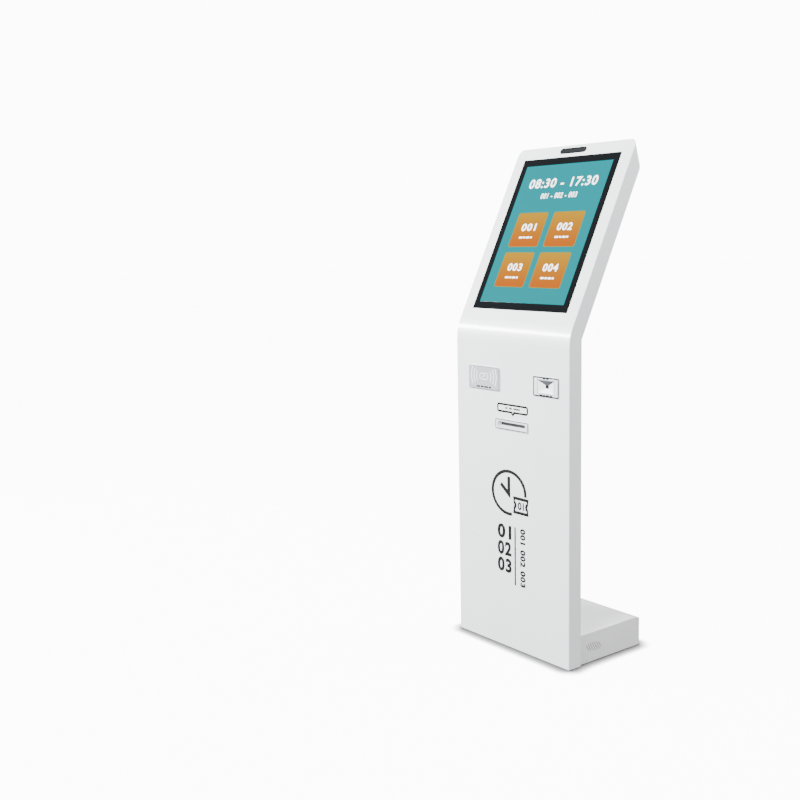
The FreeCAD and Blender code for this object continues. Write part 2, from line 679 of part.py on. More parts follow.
def make_touch_display():
    """Touch glass flush in the head's face, with the display and its two brackets behind it."""
    glass = box("glass", (centred("0", GLASS_WIDTH), ("0", "glass_thickness"),
                          ("glass_bottom", f"glass_bottom + {GLASS_HEIGHT}")), on_head=True)
    node(glass, "touch_glass")
    low = "(glass_bottom + border_end - screen_frame)"
    high = f"({low} + {SCREEN_HEIGHT} + 2 * screen_frame)"
    back = "(glass_thickness + display_depth)"
    case = box("display_case", (centred("0", f"{SCREEN_WIDTH} + 2 * screen_frame"), ("glass_thickness", back),
                                (low, high)), on_head=True)
    node(case, "display_panel")
    reach = f"2 * ({INNER_SIDE} - rail_margin - rail_width)"
    bars = []
    for index, start in enumerate((f"{low} + bracket_inset", f"{high} - bracket_inset - bracket_height")):
        bars.append(box(f"bracket_{index}", (centred("0", reach), (back, f"{back} + bracket_thickness"),
                                             (start, f"{start} + bracket_height")), on_head=True))
    node(group("display_brackets", bars), "display_brackets")


def channel(name, across, depth, up, on_head):
    """Make one frame rail, a channel that is open towards the back."""
    outer = box(name + "_outer", (across, depth, up), on_head)
    inner_across = (f"({across[0]}) + rail_wall", f"({across[1]}) - rail_wall")
    inner_depth = (f"({depth[0]}) + rail_wall", f"({depth[1]}) + rail_wall")
    inner = box(name + "_inner", (inner_across, inner_depth, (f"({up[0]}) - 1", f"({up[1]}) + 1")), on_head)
    return cut(name, outer, [inner])


def make_frame_rails():
    """Four upright channels inside the shell: two in the column and two in the head."""
    low = f"({INNER_SIDE} - rail_margin - rail_width)"
    sides = ((f"0 - {low} - rail_width", f"0 - {low}"), (low, f"{low} + rail_width"))
    column = []
    head = []
    for index, across in enumerate(sides):
        column.append(channel(f"column_rail_{index}", across,
                              behind_front("shell_wall", "body_thickness - shell_wall - fit_gap"),
                              (PLATE_TOP, "bend_height - rail_end_gap * 1.5"), False))
        head.append(channel(f"head_rail_{index}", across, ("shell_wall", "body_thickness - shell_wall - fit_gap"),
                            ("rail_end_gap", "head_length - end_bevel - rail_end_gap / 2"), True))
    node(group("column_rails", column), "column_rails")
    node(group("head_rails", head), "head_rails")


def make_sensor():
    """Pill-shaped sensor window above the screen, and the board that it covers."""
    body = doc.addObject("PartDesign::Body", "sensor_window")
    face = sketch(body, "XZ_Plane", "sensor_face", shift="0 - sensor_proud", on_head=True)
    rectangle(face, centred("0", "sensor_length"), centred(SENSOR_SLOPE, "sensor_height"))
    pad(body, face, "sensor_proud", reverse=True)
    half = size("sensor_length") / 2
    up = size("sensor_height") / 2
    proud = -size("sensor_proud") / 2
    slope = size("head_length") - size("sensor_from_end")
    corners = [head_point(x, proud, slope + z) for x in (-half, half) for z in (-up, up)]
    fillet(body, edges_near(body.Shape, corners), "sensor_height / 2 - 0.01")
    tongue = sketch(body, "XZ_Plane", "sensor_tongue", on_head=True)
    rectangle(tongue, centred("0", "sensor_length - sensor_height - 2 * fit_gap"),
              centred(SENSOR_SLOPE, "sensor_height / 2 - 2 * fit_gap"))
    pad(body, tongue, "shell_wall", reverse=True)
    node(body, "sensor_window")
    board = box("sensor_case", (centred("0", "sensor_board_length"),
                                ("shell_wall", "shell_wall + sensor_board_depth"),
                                (f"{SENSOR_SLOPE} - sensor_board_height", SENSOR_SLOPE)), on_head=True)
    node(board, "sensor_module")


def rounded_plate(body, name, across, up, proud, corner):
    """Pad a plate in front of the column's face and round its four corners."""
    face = sketch(body, "XZ_Plane", name, shift=f"-{FRONT}")
    rectangle(face, across, up)
    pad(body, face, proud)
    front = -size("total_depth") / 2

    def upright(middle, way):
        """Tell whether an edge runs front to back."""
        return abs(way.y) > 0.99 and middle.y < front
    fillet(body, edges_where(body.Shape, upright), corner)


def funnel_tool(name, depth, across, up):
    """Make the four-sided hollow of a funnel that narrows from the face to its floor.

    depth gives both ends behind the front face; across and up give the middle, the width at the face and
    the width at the floor.
    """
    obj = doc.addObject("Part::Wedge", name)
    for prop, text in zip(("Ymin", "Ymax"), behind_front(*depth)):
        bind(obj, prop, text)
    for letter, (middle, wide, narrow) in (("X", across), ("Z", up)):
        for prefix, width in ((letter, wide), (letter + "2", narrow)):
            low, high = centred(middle, width)
            bind(obj, prefix + "min", low)
            bind(obj, prefix + "max", high)
    return obj


def make_card_reader():
    """Raised contactless card pad, and its antenna board behind the sheet."""
    body = doc.addObject("PartDesign::Body", "card_pad")
    rounded_plate(body, "pad_plate", centred(READER_X, "reader_width"), centred("reader_z", "reader_height"),
                  "reader_proud", "reader_corner")
    front = -size("total_depth") / 2 - size("reader_proud")
    rim = edges_where(body.Shape, lambda middle, way: abs(middle.y - front) < 0.01)
    last = body.Tip
    edge = body.newObject("PartDesign::Chamfer", "pad_edge")
    edge.Base = (last, rim)
    bind(edge, "Size", "reader_edge")
    doc.recompute()
    node(body, "card_pad")
    board = box("card_board", (centred(READER_X, "reader_width - 2 * reader_board_margin"),
                               behind_front("shell_wall", "shell_wall + reader_board_depth"),
                               centred("reader_z", "reader_height - 2 * reader_board_margin")))
    node(board, "card_antenna")


def make_scanner():
    """Code scanner: bezel with a four-sided funnel, its lens, and the body behind."""
    body = doc.addObject("PartDesign::Body", "scanner_body")
    rounded_plate(body, "scanner_plate", centred(SCANNER_X, "scanner_width"),
                  centred("scanner_z", "scanner_height"), "scanner_proud", "scanner_corner")
    plug = sketch(body, "XZ_Plane", "scanner_plug", shift=f"-{FRONT}")
    rectangle(plug, centred(SCANNER_X, "scanner_width - 2 * scanner_rim - 2 * fit_gap"),
              centred("scanner_z", "scanner_height - 2 * scanner_rim - 2 * fit_gap"))
    pad(body, plug, "scanner_recess + scanner_floor", reverse=True)
    funnel = funnel_tool("scanner_funnel", ("0 - scanner_proud", "scanner_recess"),
                         (SCANNER_X, "scanner_mouth_width", "scanner_throat_width"),
                         ("scanner_z", "scanner_mouth_height", "scanner_throat_height"))
    node(cut("scanner_plate_cut", body, [funnel]), "scanner_bezel")
    floor = "scanner_recess"
    lens = box("lens_plate", (centred(SCANNER_X, "scanner_throat_width - 2 * fit_gap"),
                              behind_front(f"{floor} - lens_depth", floor),
                              centred("scanner_z", "scanner_throat_height - 2 * fit_gap")))
    node(lens, "scanner_lens")
    start = "scanner_recess + scanner_floor"
    case = box("scanner_case", (centred(SCANNER_X, "scanner_body_width"),
                                behind_front(start, f"{start} + scanner_body_depth"),
                                centred("scanner_z", "scanner_body_height")))
    node(case, "scanner_module")


def make_ticket_mouth():
    """Ticket mouth: rounded plate, sloped recess, paper slot and a lower lip."""
    body = doc.addObject("PartDesign::Body", "mouth_solid")
    rounded_plate(body, "mouth_plate", centred("ticket_x", "mouth_width"), centred("ticket_z", "mouth_height"),
                  "mouth_proud", "mouth_corner")
    plug = sketch(body, "XZ_Plane", "mouth_plug", shift=f"-{FRONT}")
    rectangle(plug, centred("ticket_x", "mouth_width - 2 * mouth_rim - 2 * fit_gap"),
              centred("ticket_z", "mouth_height - mouth_rim - 2 * fit_gap"))
    pad(body, plug, "mouth_body", reverse=True)
    slot = sketch(body, "XZ_Plane", "paper_slot", shift=f"-{FRONT} + mouth_proud")
    rectangle(slot, centred("ticket_x", "ticket_slot_width"), centred("ticket_z", "ticket_slot_height"))
    pocket(body, slot, "mouth_proud + mouth_body + shell_wall")
    lip = sketch(body, "XZ_Plane", "lower_lip", shift=f"-{FRONT}")
    top = "ticket_z - mouth_recess_height / 2"
    rectangle(lip, centred("ticket_x", "lip_length"), (f"{top} - lip_height", top))
    pad(body, lip, "lip_proud")
    recess = funnel_tool("ticket_recess", ("0 - mouth_proud", "mouth_recess"),
                         ("ticket_x", "mouth_recess_width", "ticket_slot_width + mouth_throat_height"),
                         ("ticket_z", "mouth_recess_height", "mouth_throat_height"))
    node(cut("mouth_recess_cut", body, [recess]), "ticket_mouth")


def make_printer_housing():
    """Four-sided housing on the column's back, around the printer and the paper."""
    body = doc.addObject("PartDesign::Body", "printer_housing")
    ring = sketch(body, "XZ_Plane", "housing_ring", shift=f"0 - {COLUMN_BACK}")
    rectangle(ring, centred("0", "bay_width"), ("bay_bottom", "bay_top"))
    rectangle(ring, centred("0", "bay_width - 2 * shell_wall"), ("bay_bottom + shell_wall", "bay_top - shell_wall"))
    pad(body, ring, "bay_depth", reverse=True)
    node(body, "printer_housing")
    edge = "(bay_width / 2 - shell_wall)"
    start = f"({DOOR_INNER} - door_flange - 1.5 * shell_wall - keeper_thickness)"
    keeper = box("keeper_plate", ((f"{edge} - keeper_reach", edge), (start, f"{start} + keeper_thickness"),
                                  centred("lock_z", "keeper_height")))
    node(keeper, "lock_keeper")


def make_service_door():
    """Folded steel door over the printer housing."""
    body = doc.addObject("PartDesign::Body", "service_door")
    panel = sketch(body, "XZ_Plane", "door_panel", shift=f"0 - {DOOR_INNER}")
    rectangle(panel, centred("0", "bay_width - 2 * door_gap"), ("bay_bottom + door_gap", "bay_top - door_gap"))
    pad(body, panel, "shell_wall", reverse=True)
    fillet(body, edges_where(body.Shape, lambda middle, way: abs(way.y) > 0.99), "door_corner")
    inset = "(shell_wall + door_gap * 2)"
    flange = sketch(body, "XZ_Plane", "door_flange", shift=f"0 - {DOOR_INNER}")
    rectangle(flange, centred("0", f"bay_width - 2 * {inset}"), (f"bay_bottom + {inset}", f"bay_top - {inset}"))
    rectangle(flange, centred("0", f"bay_width - 2 * {inset} - 2 * shell_wall"),
              (f"bay_bottom + {inset} + shell_wall", f"bay_top - {inset} - shell_wall"))
    pad(body, flange, "door_flange")
    hole = sketch(body, "XZ_Plane", "door_lock_hole", shift=f"0 - {DOOR_OUTER}")
    circle(hole, "lock_sleeve + running_gap", ("lock_x", "lock_z"))
    pocket(body, hole, "shell_wall * 4", midplane=True)
    node(body, "service_door")


def make_door_hinges():
    """Two loose-pin hinges: leaves on the housing, leaves on the door, and the pins."""
    fixed = []
    swung = []
    pins = []
    for name, middle in (("low", "hinge_low"), ("high", "hinge_high")):
        for end, side in (("a", "-"), ("b", "+")):
            centre = f"{middle} {side} (knuckle_height + fit_gap)"
            key = f"hinge_{name}_{end}"
            knuckle = rod(key + "_knuckle", "hinge_radius", "knuckle_height",
                          (HINGE_X, HINGE_Y, f"{centre} - knuckle_height / 2"))
            leaf = box(key + "_leaf", (("-bay_width / 2 - hinge_leaf", "-bay_width / 2"),
                                       (f"{HINGE_Y} - hinge_leaf_length", HINGE_Y),
                                       centred(centre, "knuckle_height")))
            bore = rod(key + "_bore", "hinge_pin + running_gap / 2", "knuckle_height * 2",
                       (HINGE_X, HINGE_Y, f"{centre} - knuckle_height"))
            bridge = box(key + "_bridge", ((HINGE_X, "-bay_width / 2 - hinge_leaf / 2"),
                                           (f"{HINGE_Y} - hinge_radius", f"{HINGE_Y} - hinge_radius / 2"),
                                           centred(centre, "knuckle_height")))
            fixed.append(cut(key, fuse(key + "_body", [knuckle, leaf, bridge]), [bore]))
        key = f"door_{name}"
        knuckle = rod(key + "_knuckle", "hinge_radius", "knuckle_height",
                      (HINGE_X, HINGE_Y, f"{middle} - knuckle_height / 2"))
        leaf = box(key + "_leaf", ((HINGE_X, f"{HINGE_X} + hinge_leaf_length + hinge_offset"),
                                   (DOOR_OUTER, f"{DOOR_OUTER} + hinge_leaf"), centred(middle, "knuckle_height")))
        bore = rod(key + "_bore", "hinge_pin + running_gap", "knuckle_height * 2",
                   (HINGE_X, HINGE_Y, f"{middle} - knuckle_height"))
        swung.append(cut(key, fuse(key + "_body", [knuckle, leaf]), [bore]))
        pins.append(rod(f"pin_{name}", "hinge_pin", "3 * knuckle_height + 4",
                        (HINGE_X, HINGE_Y, f"{middle} - 1.5 * knuckle_height - 2")))
    node(group("housing_hinge_leaves", fixed), "housing_hinge_leaves")
    node(group("door_hinge_leaves", swung), "door_hinge_leaves")
    node(group("hinge_pins", pins), "hinge_pins")


def make_door_lock():
    """Cam lock: sleeve in the door, turning plug with a key slot, and the cam."""
    at = ("lock_x", f"{DOOR_OUTER} - lock_depth", "lock_z")
    sleeve = rod("sleeve_body", "lock_sleeve", "lock_depth", at, "y")
    flange = rod("sleeve_flange", "lock_flange", "shell_wall", ("lock_x", DOOR_OUTER, "lock_z"), "y")
    bore = rod("sleeve_bore", "lock_plug + running_gap", "lock_depth * 3",
               ("lock_x", f"{DOOR_OUTER} - 2 * lock_depth", "lock_z"), "y")
    node(cut("sleeve", fuse("sleeve_solid", [sleeve, flange]), [bore]), "lock_sleeve")
    cam_back = f"({DOOR_OUTER} - lock_depth - fit_gap)"
    plug = rod("plug_body", "lock_plug", f"({DOOR_OUTER} + shell_wall + fit_gap) - {cam_back}",
               ("lock_x", cam_back, "lock_z"), "y")
    key = box("key_slot", (centred("lock_x", "lock_plug / 5"),
                           (f"{DOOR_OUTER} + fit_gap", f"{DOOR_OUTER} + 2 * shell_wall"),
                           centred("lock_z", "lock_plug * 1.2")))
    node(cut("plug", plug, [key]), "lock_plug")
    hub = rod("cam_hub", "lock_plug", "cam_thickness", ("lock_x", f"{cam_back} - cam_thickness", "lock_z"), "y")
    arm = box("cam_arm", (centred("lock_x", "cam_width"), (f"{cam_back} - cam_thickness", cam_back),
                          ("lock_z - cam_length", "lock_z")))
    node(fuse("cam", [hub, arm]), "lock_cam")


def make_printer_frame():
    """Shelf across the housing, printer chassis on it, and brackets for the paper roll."""
    edge = "2 * (bay_width / 2 - shell_wall)"
    shelf = box("shelf_plate", (centred("0", edge), behind_front("shelf_front", "shelf_back"),
                                ("shelf_top - shelf_thickness", "shelf_top")))
    node(shelf, "printer_shelf")
    body = doc.addObject("PartDesign::Body", "printer_chassis")
    trough = sketch(body, "XZ_Plane", "chassis_section", shift="total_depth / 2 - chassis_front")
    low = "(ticket_x - chassis_width / 2)"
    high = "(ticket_x + chassis_width / 2)"
    wall = "rail_wall"
    top = "(shelf_top + chassis_height)"
    outline(trough, [(low, "shelf_top"), (high, "shelf_top"), (high, top), (f"{high} - {wall}", top),
                     (f"{high} - {wall}", f"shelf_top + {wall}"), (f"{low} + {wall}", f"shelf_top + {wall}"),
                     (f"{low} + {wall}", top), (low, top)])
    pad(body, trough, "chassis_back - chassis_front", reverse=True)
    ears = sketch(body, "YZ_Plane", "chassis_ears", shift=f"{high} - {wall}")
    rectangle(ears, behind_front("lid_y - chassis_ear / 2", "lid_y + chassis_ear / 2"),
              (f"{top} - {wall}", f"{top} + chassis_ear"))
    pad(body, ears, wall)
    ears = sketch(body, "YZ_Plane", "chassis_ears_left", shift=low)
    rectangle(ears, behind_front("lid_y - chassis_ear / 2", "lid_y + chassis_ear / 2"),
              (f"{top} - {wall}", f"{top} + chassis_ear"))
    pad(body, ears, wall)
    bores = sketch(body, "YZ_Plane", "chassis_bores", shift="ticket_x")
    circle(bores, "platen_shaft + running_gap", (f"{FRONT} + platen_y", PLATEN_Z))
    circle(bores, "motor_shaft + fit_gap", (f"{FRONT} + platen_y + {GEAR_SPAN}", PLATEN_Z))
    circle(bores, "lid_pin + running_gap / 2", (f"{FRONT} + lid_y", f"{top} + chassis_ear / 2"))
    circle(bores, "lever_pin + running_gap", (f"{FRONT} + lever_y", "lever_z"))
    pocket(body, bores, "chassis_width * 2", midplane=True)
    node(body, "printer_chassis")


def make_paper_roll():
    """Paper roll on its spindle, held by two brackets under the shelf."""
    reach = "(roll_width / 2 + roll_bracket_gap)"
    plates = []
    for index, start in enumerate((f"ticket_x - {reach} - rail_wall", f"ticket_x + {reach}")):
        plate = box(f"roll_plate_{index}", ((start, f"{start} + rail_wall"),
                                            behind_front("roll_y - roll_bracket_width / 2",
                                                         "roll_y + roll_bracket_width / 2"),
                                            ("roll_z - roll_bracket_width / 2", "shelf_top - shelf_thickness")))
        hole = rod(f"roll_hole_{index}", "spindle_radius + running_gap", "rail_wall * 3",
                   (f"{start} - rail_wall", f"{FRONT} + roll_y", "roll_z"), "x")
        plates.append(cut(f"roll_bracket_{index}", plate, [hole]))
    node(group("roll_brackets", plates), "roll_brackets")
    length = f"2 * {reach} + 4 * rail_wall"
    axle = rod("spindle_rod", "spindle_radius", length,
               (f"ticket_x - {reach} - 2 * rail_wall", f"{FRONT} + roll_y", "roll_z"), "x")
    node(axle, "paper_spindle")
    start = ("ticket_x - roll_width / 2", f"{FRONT} + roll_y", "roll_z")
    roll = rod("roll_body", "roll_radius", "roll_width", start, "x")
    core = rod("roll_core", "spindle_radius + spindle_gap", "roll_width * 2",
               ("ticket_x - roll_width", f"{FRONT} + roll_y", "roll_z"), "x")
    node(cut("roll", roll, [core]), "paper_roll")


def gear_outline(teeth, module, turn):
    """Return the points of an involute gear about the origin, in the YZ plane.

    The teeth are a little short and thin, so that a pair runs with backlash.
    """
    pitch = teeth * module / 2
    base = pitch * math.cos(math.radians(20))
    tip = pitch + 0.85 * module
    root = pitch - 1.1 * module
    backlash = 0.07 * module / pitch
    involute_pitch = math.tan(math.radians(20)) - math.radians(20)
    start = max(base, root)
    radii = [start + (tip - start) * step / 2 for step in range(3)]
    flank = []
    for radius in radii:
        pressure = math.acos(min(1, base / radius))
        half = math.pi / (2 * teeth) + involute_pitch - (math.tan(pressure) - pressure) - backlash
        flank.append((radius, half))
    if root < start:
        flank.insert(0, (root, flank[0][1]))
    points = []
    for tooth in range(teeth):
        middle = 2 * math.pi * tooth / teeth + turn
        for radius, half in flank:
            points.append(Vector(0, radius * math.cos(middle - half), radius * math.sin(middle - half)))
        for radius, half in reversed(flank):
            points.append(Vector(0, radius * math.cos(middle + half), radius * math.sin(middle + half)))
    return points + [points[0]]


def gear(name, teeth, turn, hub):
    """Make one gear with a plain hub hole, standing along +x from the origin."""
    face = Part.Face(Part.makePolygon(gear_outline(teeth, size("gear_module"), turn)))
    solid = face.extrude(Vector(size("gear_width"), 0, 0))
    hole = Part.makeCylinder(hub, size("gear_width") * 3, Vector(-size("gear_width"), 0, 0), Vector(1, 0, 0))
    made = doc.addObject("Part::Feature", name)
    made.Shape = solid.cut(hole)
    return made


def make_printer_drive():
    """Platen roller and its gear, and the motor with its pinion."""
    platen_at = (f"{FRONT} + platen_y", PLATEN_Z)
    rubber = rod("platen_rubber", "platen_radius", "platen_length",
                 ("ticket_x - platen_length / 2", *platen_at), "x")
    axle = rod("platen_axle", "platen_shaft", "chassis_width + 2 * gear_gap + gear_width + 2",
               ("ticket_x - chassis_width / 2 - gear_gap", *platen_at), "x")
    node(fuse("platen", [rubber, axle]), "platen_roller")
    teeth = int(size("platen_teeth"))
    wheel = gear("platen_gear", teeth, 0.0, size("platen_shaft"))
    put(wheel, (GEAR_X, *platen_at))
    node(wheel, "platen_gear")
    motor_at = (f"{FRONT} + platen_y + {GEAR_SPAN}", PLATEN_Z)
    inner = "(ticket_x + chassis_width / 2 - rail_wall)"
    can = rod("motor_can", "motor_radius", "motor_length", (f"{inner} - motor_length", *motor_at), "x")
    node(can, "feed_motor")
    small = int(size("pinion_teeth"))
    half_tooth = 0 if small % 2 else math.pi / small
    pinion = gear("motor_pinion", small, half_tooth, size("motor_shaft"))
    put(pinion, (GEAR_X, *motor_at))
    node(pinion, "motor_pinion")
    shaft = rod("motor_shaft_rod", "motor_shaft", "rail_wall + gear_gap + gear_width + 1",
                (f"{inner} + fit_gap", *motor_at), "x")
    node(shaft, "motor_shaft")


def make_print_head():
    """Print head with its comb of cooling ribs, pressed down on the platen."""
    low = "(ticket_z + fit_gap)"
    block = box("head_block", (centred("ticket_x", "platen_length"),
                               behind_front("platen_y - head_block_depth / 2", "platen_y + head_block_depth / 2"),
                               (low, f"{low} + head_block_height")))
    tools = []
    for index in range(6):
        across = centred(f"ticket_x + platen_length / 7 * {index - 2.5}", "platen_length / 20")
        depth = behind_front("platen_y - head_block_depth", "platen_y + head_block_depth")
        up = (f"{low} + head_block_height / 2", f"{low} + head_block_height * 2")
        tools.append(box(f"head_groove_{index}", (across, depth, up)))
    node(cut("thermal_head", block, tools), "print_head")
    arm_low = f"({low} + head_block_height)"
    bar = box("head_bar", (centred("ticket_x", "chassis_width - 2 * rail_wall"),
                           behind_front("platen_y - rail_wall", "platen_y + rail_wall"),
                           (arm_low, f"{arm_low} + rail_wall")))
    node(bar, "head_pressure_bar")


def make_cutter():
    """Guillotine cutter: a slotted frame and a blade that slides in it."""
    low = "(shelf_top + rail_wall)"
    frame = box("cutter_block", (centred("ticket_x", "chassis_width - 2 * rail_wall - 2 * fit_gap"),
                                 behind_front("cutter_front", "cutter_front + cutter_depth"),
                                 (low, f"{low} + cutter_height")))
    middle = "(cutter_front + cutter_depth / 2)"
    blade_y = (f"{middle} - blade_thickness / 2", f"{middle} + blade_thickness / 2")
    pocket_y = (f"{blade_y[0]} - fit_gap", f"{blade_y[1]} + fit_gap")
    way = box("blade_way", (centred("ticket_x", "ticket_slot_width + 2 * fit_gap"), behind_front(*pocket_y),
                            ("ticket_z - blade_travel", f"{low} + cutter_height + 1")))
    gap = box("cutter_gap", (centred("ticket_x", "ticket_slot_width"),
                             behind_front("cutter_front - 1", "cutter_front + cutter_depth + 1"),
                             centred("ticket_z", "paper_gap")))
    node(cut("cutter", frame, [way, gap]), "cutter_frame")
    blade = box("blade", (centred("ticket_x", "ticket_slot_width"), behind_front(*blade_y),
                          ("ticket_z + blade_rest", "ticket_z + blade_rest + blade_height")))
    node(blade, "cutter_blade")


def make_printer_lid():
    """Sprung-up printer lid on a pin between the chassis ears, and the release lever."""
    top = "(shelf_top + chassis_height)"
    axis = (f"{FRONT} + lid_y", f"{top} + chassis_ear / 2")
    inner = "(chassis_width - 2 * rail_wall - 2 * fit_gap)"
    pin = rod("lid_pin_rod", "lid_pin", "chassis_width", ("ticket_x - chassis_width / 2", *axis), "x")
    node(pin, "lid_pin")
    barrel = rod("lid_barrel_rod", "lid_barrel", inner, (f"ticket_x - {inner} / 2", *axis), "x")
    plate_top = f"({axis[1]} - lid_barrel / 2 + lid_thickness)"
    plate = box("lid_plate", (centred("ticket_x", inner), behind_front("lid_y", "chassis_back"),
                              (f"{plate_top} - lid_thickness", plate_top)))
    bore = rod("lid_bore", "lid_pin + running_gap", f"{inner} * 2", (f"ticket_x - {inner}", *axis), "x")
    node(cut("lid", fuse("lid_solid", [barrel, plate]), [bore]), "printer_lid")
    outer = "(ticket_x - chassis_width / 2 - fit_gap)"
    pivot = rod("lever_pivot", "lever_pin", "lever_thickness + rail_wall + 1",
                (f"{outer} - lever_thickness", f"{FRONT} + lever_y", "lever_z"), "x")
    arm = box("lever_arm", ((f"{outer} - lever_thickness", outer),
                            centred(f"{FRONT} + lever_y", "lever_width"),
                            ("lever_z - lever_width / 2", "lever_z + lever_length")))
    grip = rod("lever_grip", "lever_width / 2", "lever_thickness * 3",
               (f"{outer} - lever_thickness * 3", f"{FRONT} + lever_y", "lever_z + lever_length"), "x")
    node(fuse("lever", [pivot, arm, grip]), "release_lever")


def make_base_plate():
    """Steel plate under column and base, with anchor holes and a cable hole."""
    body = doc.addObject("PartDesign::Body", "base_plate")
    slab = sketch(body, "XY_Plane", "plate_outline", shift="foot_height")
    half = f"({BASE_SIDE} - shell_wall - plate_gap)"
    rectangle(slab, (f"0 - {half}", half),
              (f"{FRONT} + shell_wall + plate_gap", f"{REAR} - shell_wall - plate_gap"))
    pad(body, slab, "plate_thickness")
    fillet(body, edges_where(body.Shape, lambda middle, way: abs(way.z) > 0.99 and middle.y > 0), "base_corner")
    holes = sketch(body, "XY_Plane", "plate_holes", shift="foot_height")
    for across in ("-anchor_spacing_x / 2", "anchor_spacing_x / 2"):
        for along in ("-anchor_spacing_y / 2", "anchor_spacing_y / 2"):
            circle(holes, "anchor_hole", (across, along))
    circle(holes, "cable_hole", ("0", "0 - anchor_spacing_y / 4"))
    pocket(body, holes, "plate_thickness", reverse=True)
    node(body, "base_plate")
    feet = []
    for index, (side, end) in enumerate(((-1, -1), (1, -1), (-1, 1), (1, 1))):
        feet.append(rod(f"foot_{index}", "foot_radius", "foot_height",
                        (f"{side} * foot_inset_x", f"{end} * foot_inset_y", "0")))
    node(group("feet", feet), "rubber_feet")


def make_base_cover():
    """Low sheet box behind the column, with slanted vents and rear cut-outs."""
    body = doc.addObject("PartDesign::Body", "base_cover")
    start = f"({COLUMN_BACK} + fit_gap)"
    side = sketch(body, "YZ_Plane", "base_side")
    outline(side, [(start, "foot_height"), (start, "base_height"), (f"{REAR} - base_strip", "base_height"),
                   (REAR, "base_height - base_strip_drop"), (REAR, "foot_height")])
    pad(body, side, f"2 * {BASE_SIDE}", midplane=True)
    hollow = sketch(body, "YZ_Plane", "base_hollow")
    fall = "(shell_wall * base_strip_drop / base_strip)"
    outline(hollow, [(f"{start} - shell_wall", "foot_height - shell_wall"),
                     (f"{start} - shell_wall", "base_height - shell_wall"),
                     (f"{REAR} - base_strip", "base_height - shell_wall"),
                     (f"{REAR} - shell_wall", f"base_height - base_strip_drop - shell_wall + {fall}"),
                     (f"{REAR} - shell_wall", "foot_height - shell_wall")])
    pocket(body, hollow, f"2 * {BASE_SIDE} - 2 * shell_wall", midplane=True)
    side_x = size("body_width") / 2 - size("base_inset")
    rear_y = size("total_depth") / 2
    top = size("base_height")

    def rear_corner(inset):
        """Return a test for the two upright corners at the back, inset by a wall."""
        return lambda middle, way: (abs(way.z) > 0.99 and abs(abs(middle.x) - side_x + inset) < 0.01
                                    and abs(middle.y - rear_y + inset) < 0.01)

    def top_side(middle, way):
        """Tell whether an edge is one of the two long top edges."""
        return abs(abs(way.y) - 1) < 0.01 and abs(middle.z - top) < 0.01
    fillet(body, edges_where(body.Shape, rear_corner(size("shell_wall"))), "base_corner - shell_wall")
    fillet(body, edges_where(body.Shape, rear_corner(0)), "base_corner")
    fillet(body, edges_where(body.Shape, top_side), "edge_radius")
    vents = sketch(body, "YZ_Plane", "vent_slots")
    count = int(size("vent_count"))
    for index in range(count):
        place = index - (count - 1) / 2
        share = round(math.sqrt(1 - (place / (count / 2 + 0.6)) ** 2), 3)
        middle = f"({FRONT} + vent_y + vent_pitch * {place})"
        rise = f"(vent_height / 2 * {share})"
        lean = f"(vent_lean / 2 * {share})"
        outline(vents, [(f"{middle} + {lean} - vent_width / 2", f"vent_z - {rise}"),
                        (f"{middle} + {lean} + vent_width / 2", f"vent_z - {rise}"),
                        (f"{middle} - {lean} + vent_width / 2", f"vent_z + {rise}"),
                        (f"{middle} - {lean} - vent_width / 2", f"vent_z + {rise}")])
    pocket(body, vents, "body_width", midplane=True)
    rear = sketch(body, "XZ_Plane", "rear_openings", shift=f"0 - {REAR}")
    rectangle(rear, centred("inlet_x", "inlet_width + 2 * fit_gap"),
              centred("inlet_z", "inlet_height + 2 * fit_gap"))
    rectangle(rear, centred("switch_x", "switch_width + 2 * fit_gap"),
              centred("inlet_z", "switch_height + 2 * fit_gap"))
    pocket(body, rear, "shell_wall * 4", midplane=True)
    node(body, "base_cover")


def make_base_units():
    """Controller box with fins, power supply, and the fan at the vents."""
    depth = centred("controller_y", "controller_depth")
    body = box("controller_body", (centred("controller_x", "controller_width"), depth,
                                   (PLATE_TOP, f"{PLATE_TOP} + controller_height - fin_height")))
    pieces = [body]
    count = int(size("fin_count"))
    for index in range(count):
        middle = f"controller_x + (controller_width - fin_thickness) * {index / (count - 1) - 0.5:.4f}"
        pieces.append(box(f"fin_{index}", (centred(middle, "fin_thickness"), depth,
                                           (f"{PLATE_TOP} + controller_height - fin_height - 1",
                                            f"{PLATE_TOP} + controller_height"))))
    node(fuse("controller", pieces), "controller_box")
    supply = box("supply_case", (centred("supply_x", "supply_width"), centred("supply_y", "supply_depth"),
                                 (PLATE_TOP, f"{PLATE_TOP} + supply_height")))
    node(supply, "power_supply")
    face = f"({BASE_SIDE} - shell_wall - fit_gap)"
    middle_y = f"{FRONT} + vent_y"
    frame = box("fan_block", ((f"{face} - fan_depth", face), centred(middle_y, "fan_size"),
                              centred("vent_z", "fan_size")))
    bore = rod("fan_bore_rod", "fan_bore", "fan_depth * 2", (f"{face} - fan_depth * 1.5", middle_y, "vent_z"), "x")
    web = box("fan_web", ((f"{face} - fan_depth", f"{face} - fan_depth + 2"), centred(middle_y, "fan_size - 1"),
                          centred("vent_z", "4")))
    hub = rod("fan_mount", "fan_hub", "2", (f"{face} - fan_depth", middle_y, "vent_z"), "x")
    post = rod("fan_post", "1.5", "fan_depth - 3", (f"{face} - fan_depth", middle_y, "vent_z"), "x")
    node(fuse("fan_housing", [cut("fan_ring", frame, [bore]), web, hub, post]), "fan_frame")
    make_fan_rotor(face, middle_y)


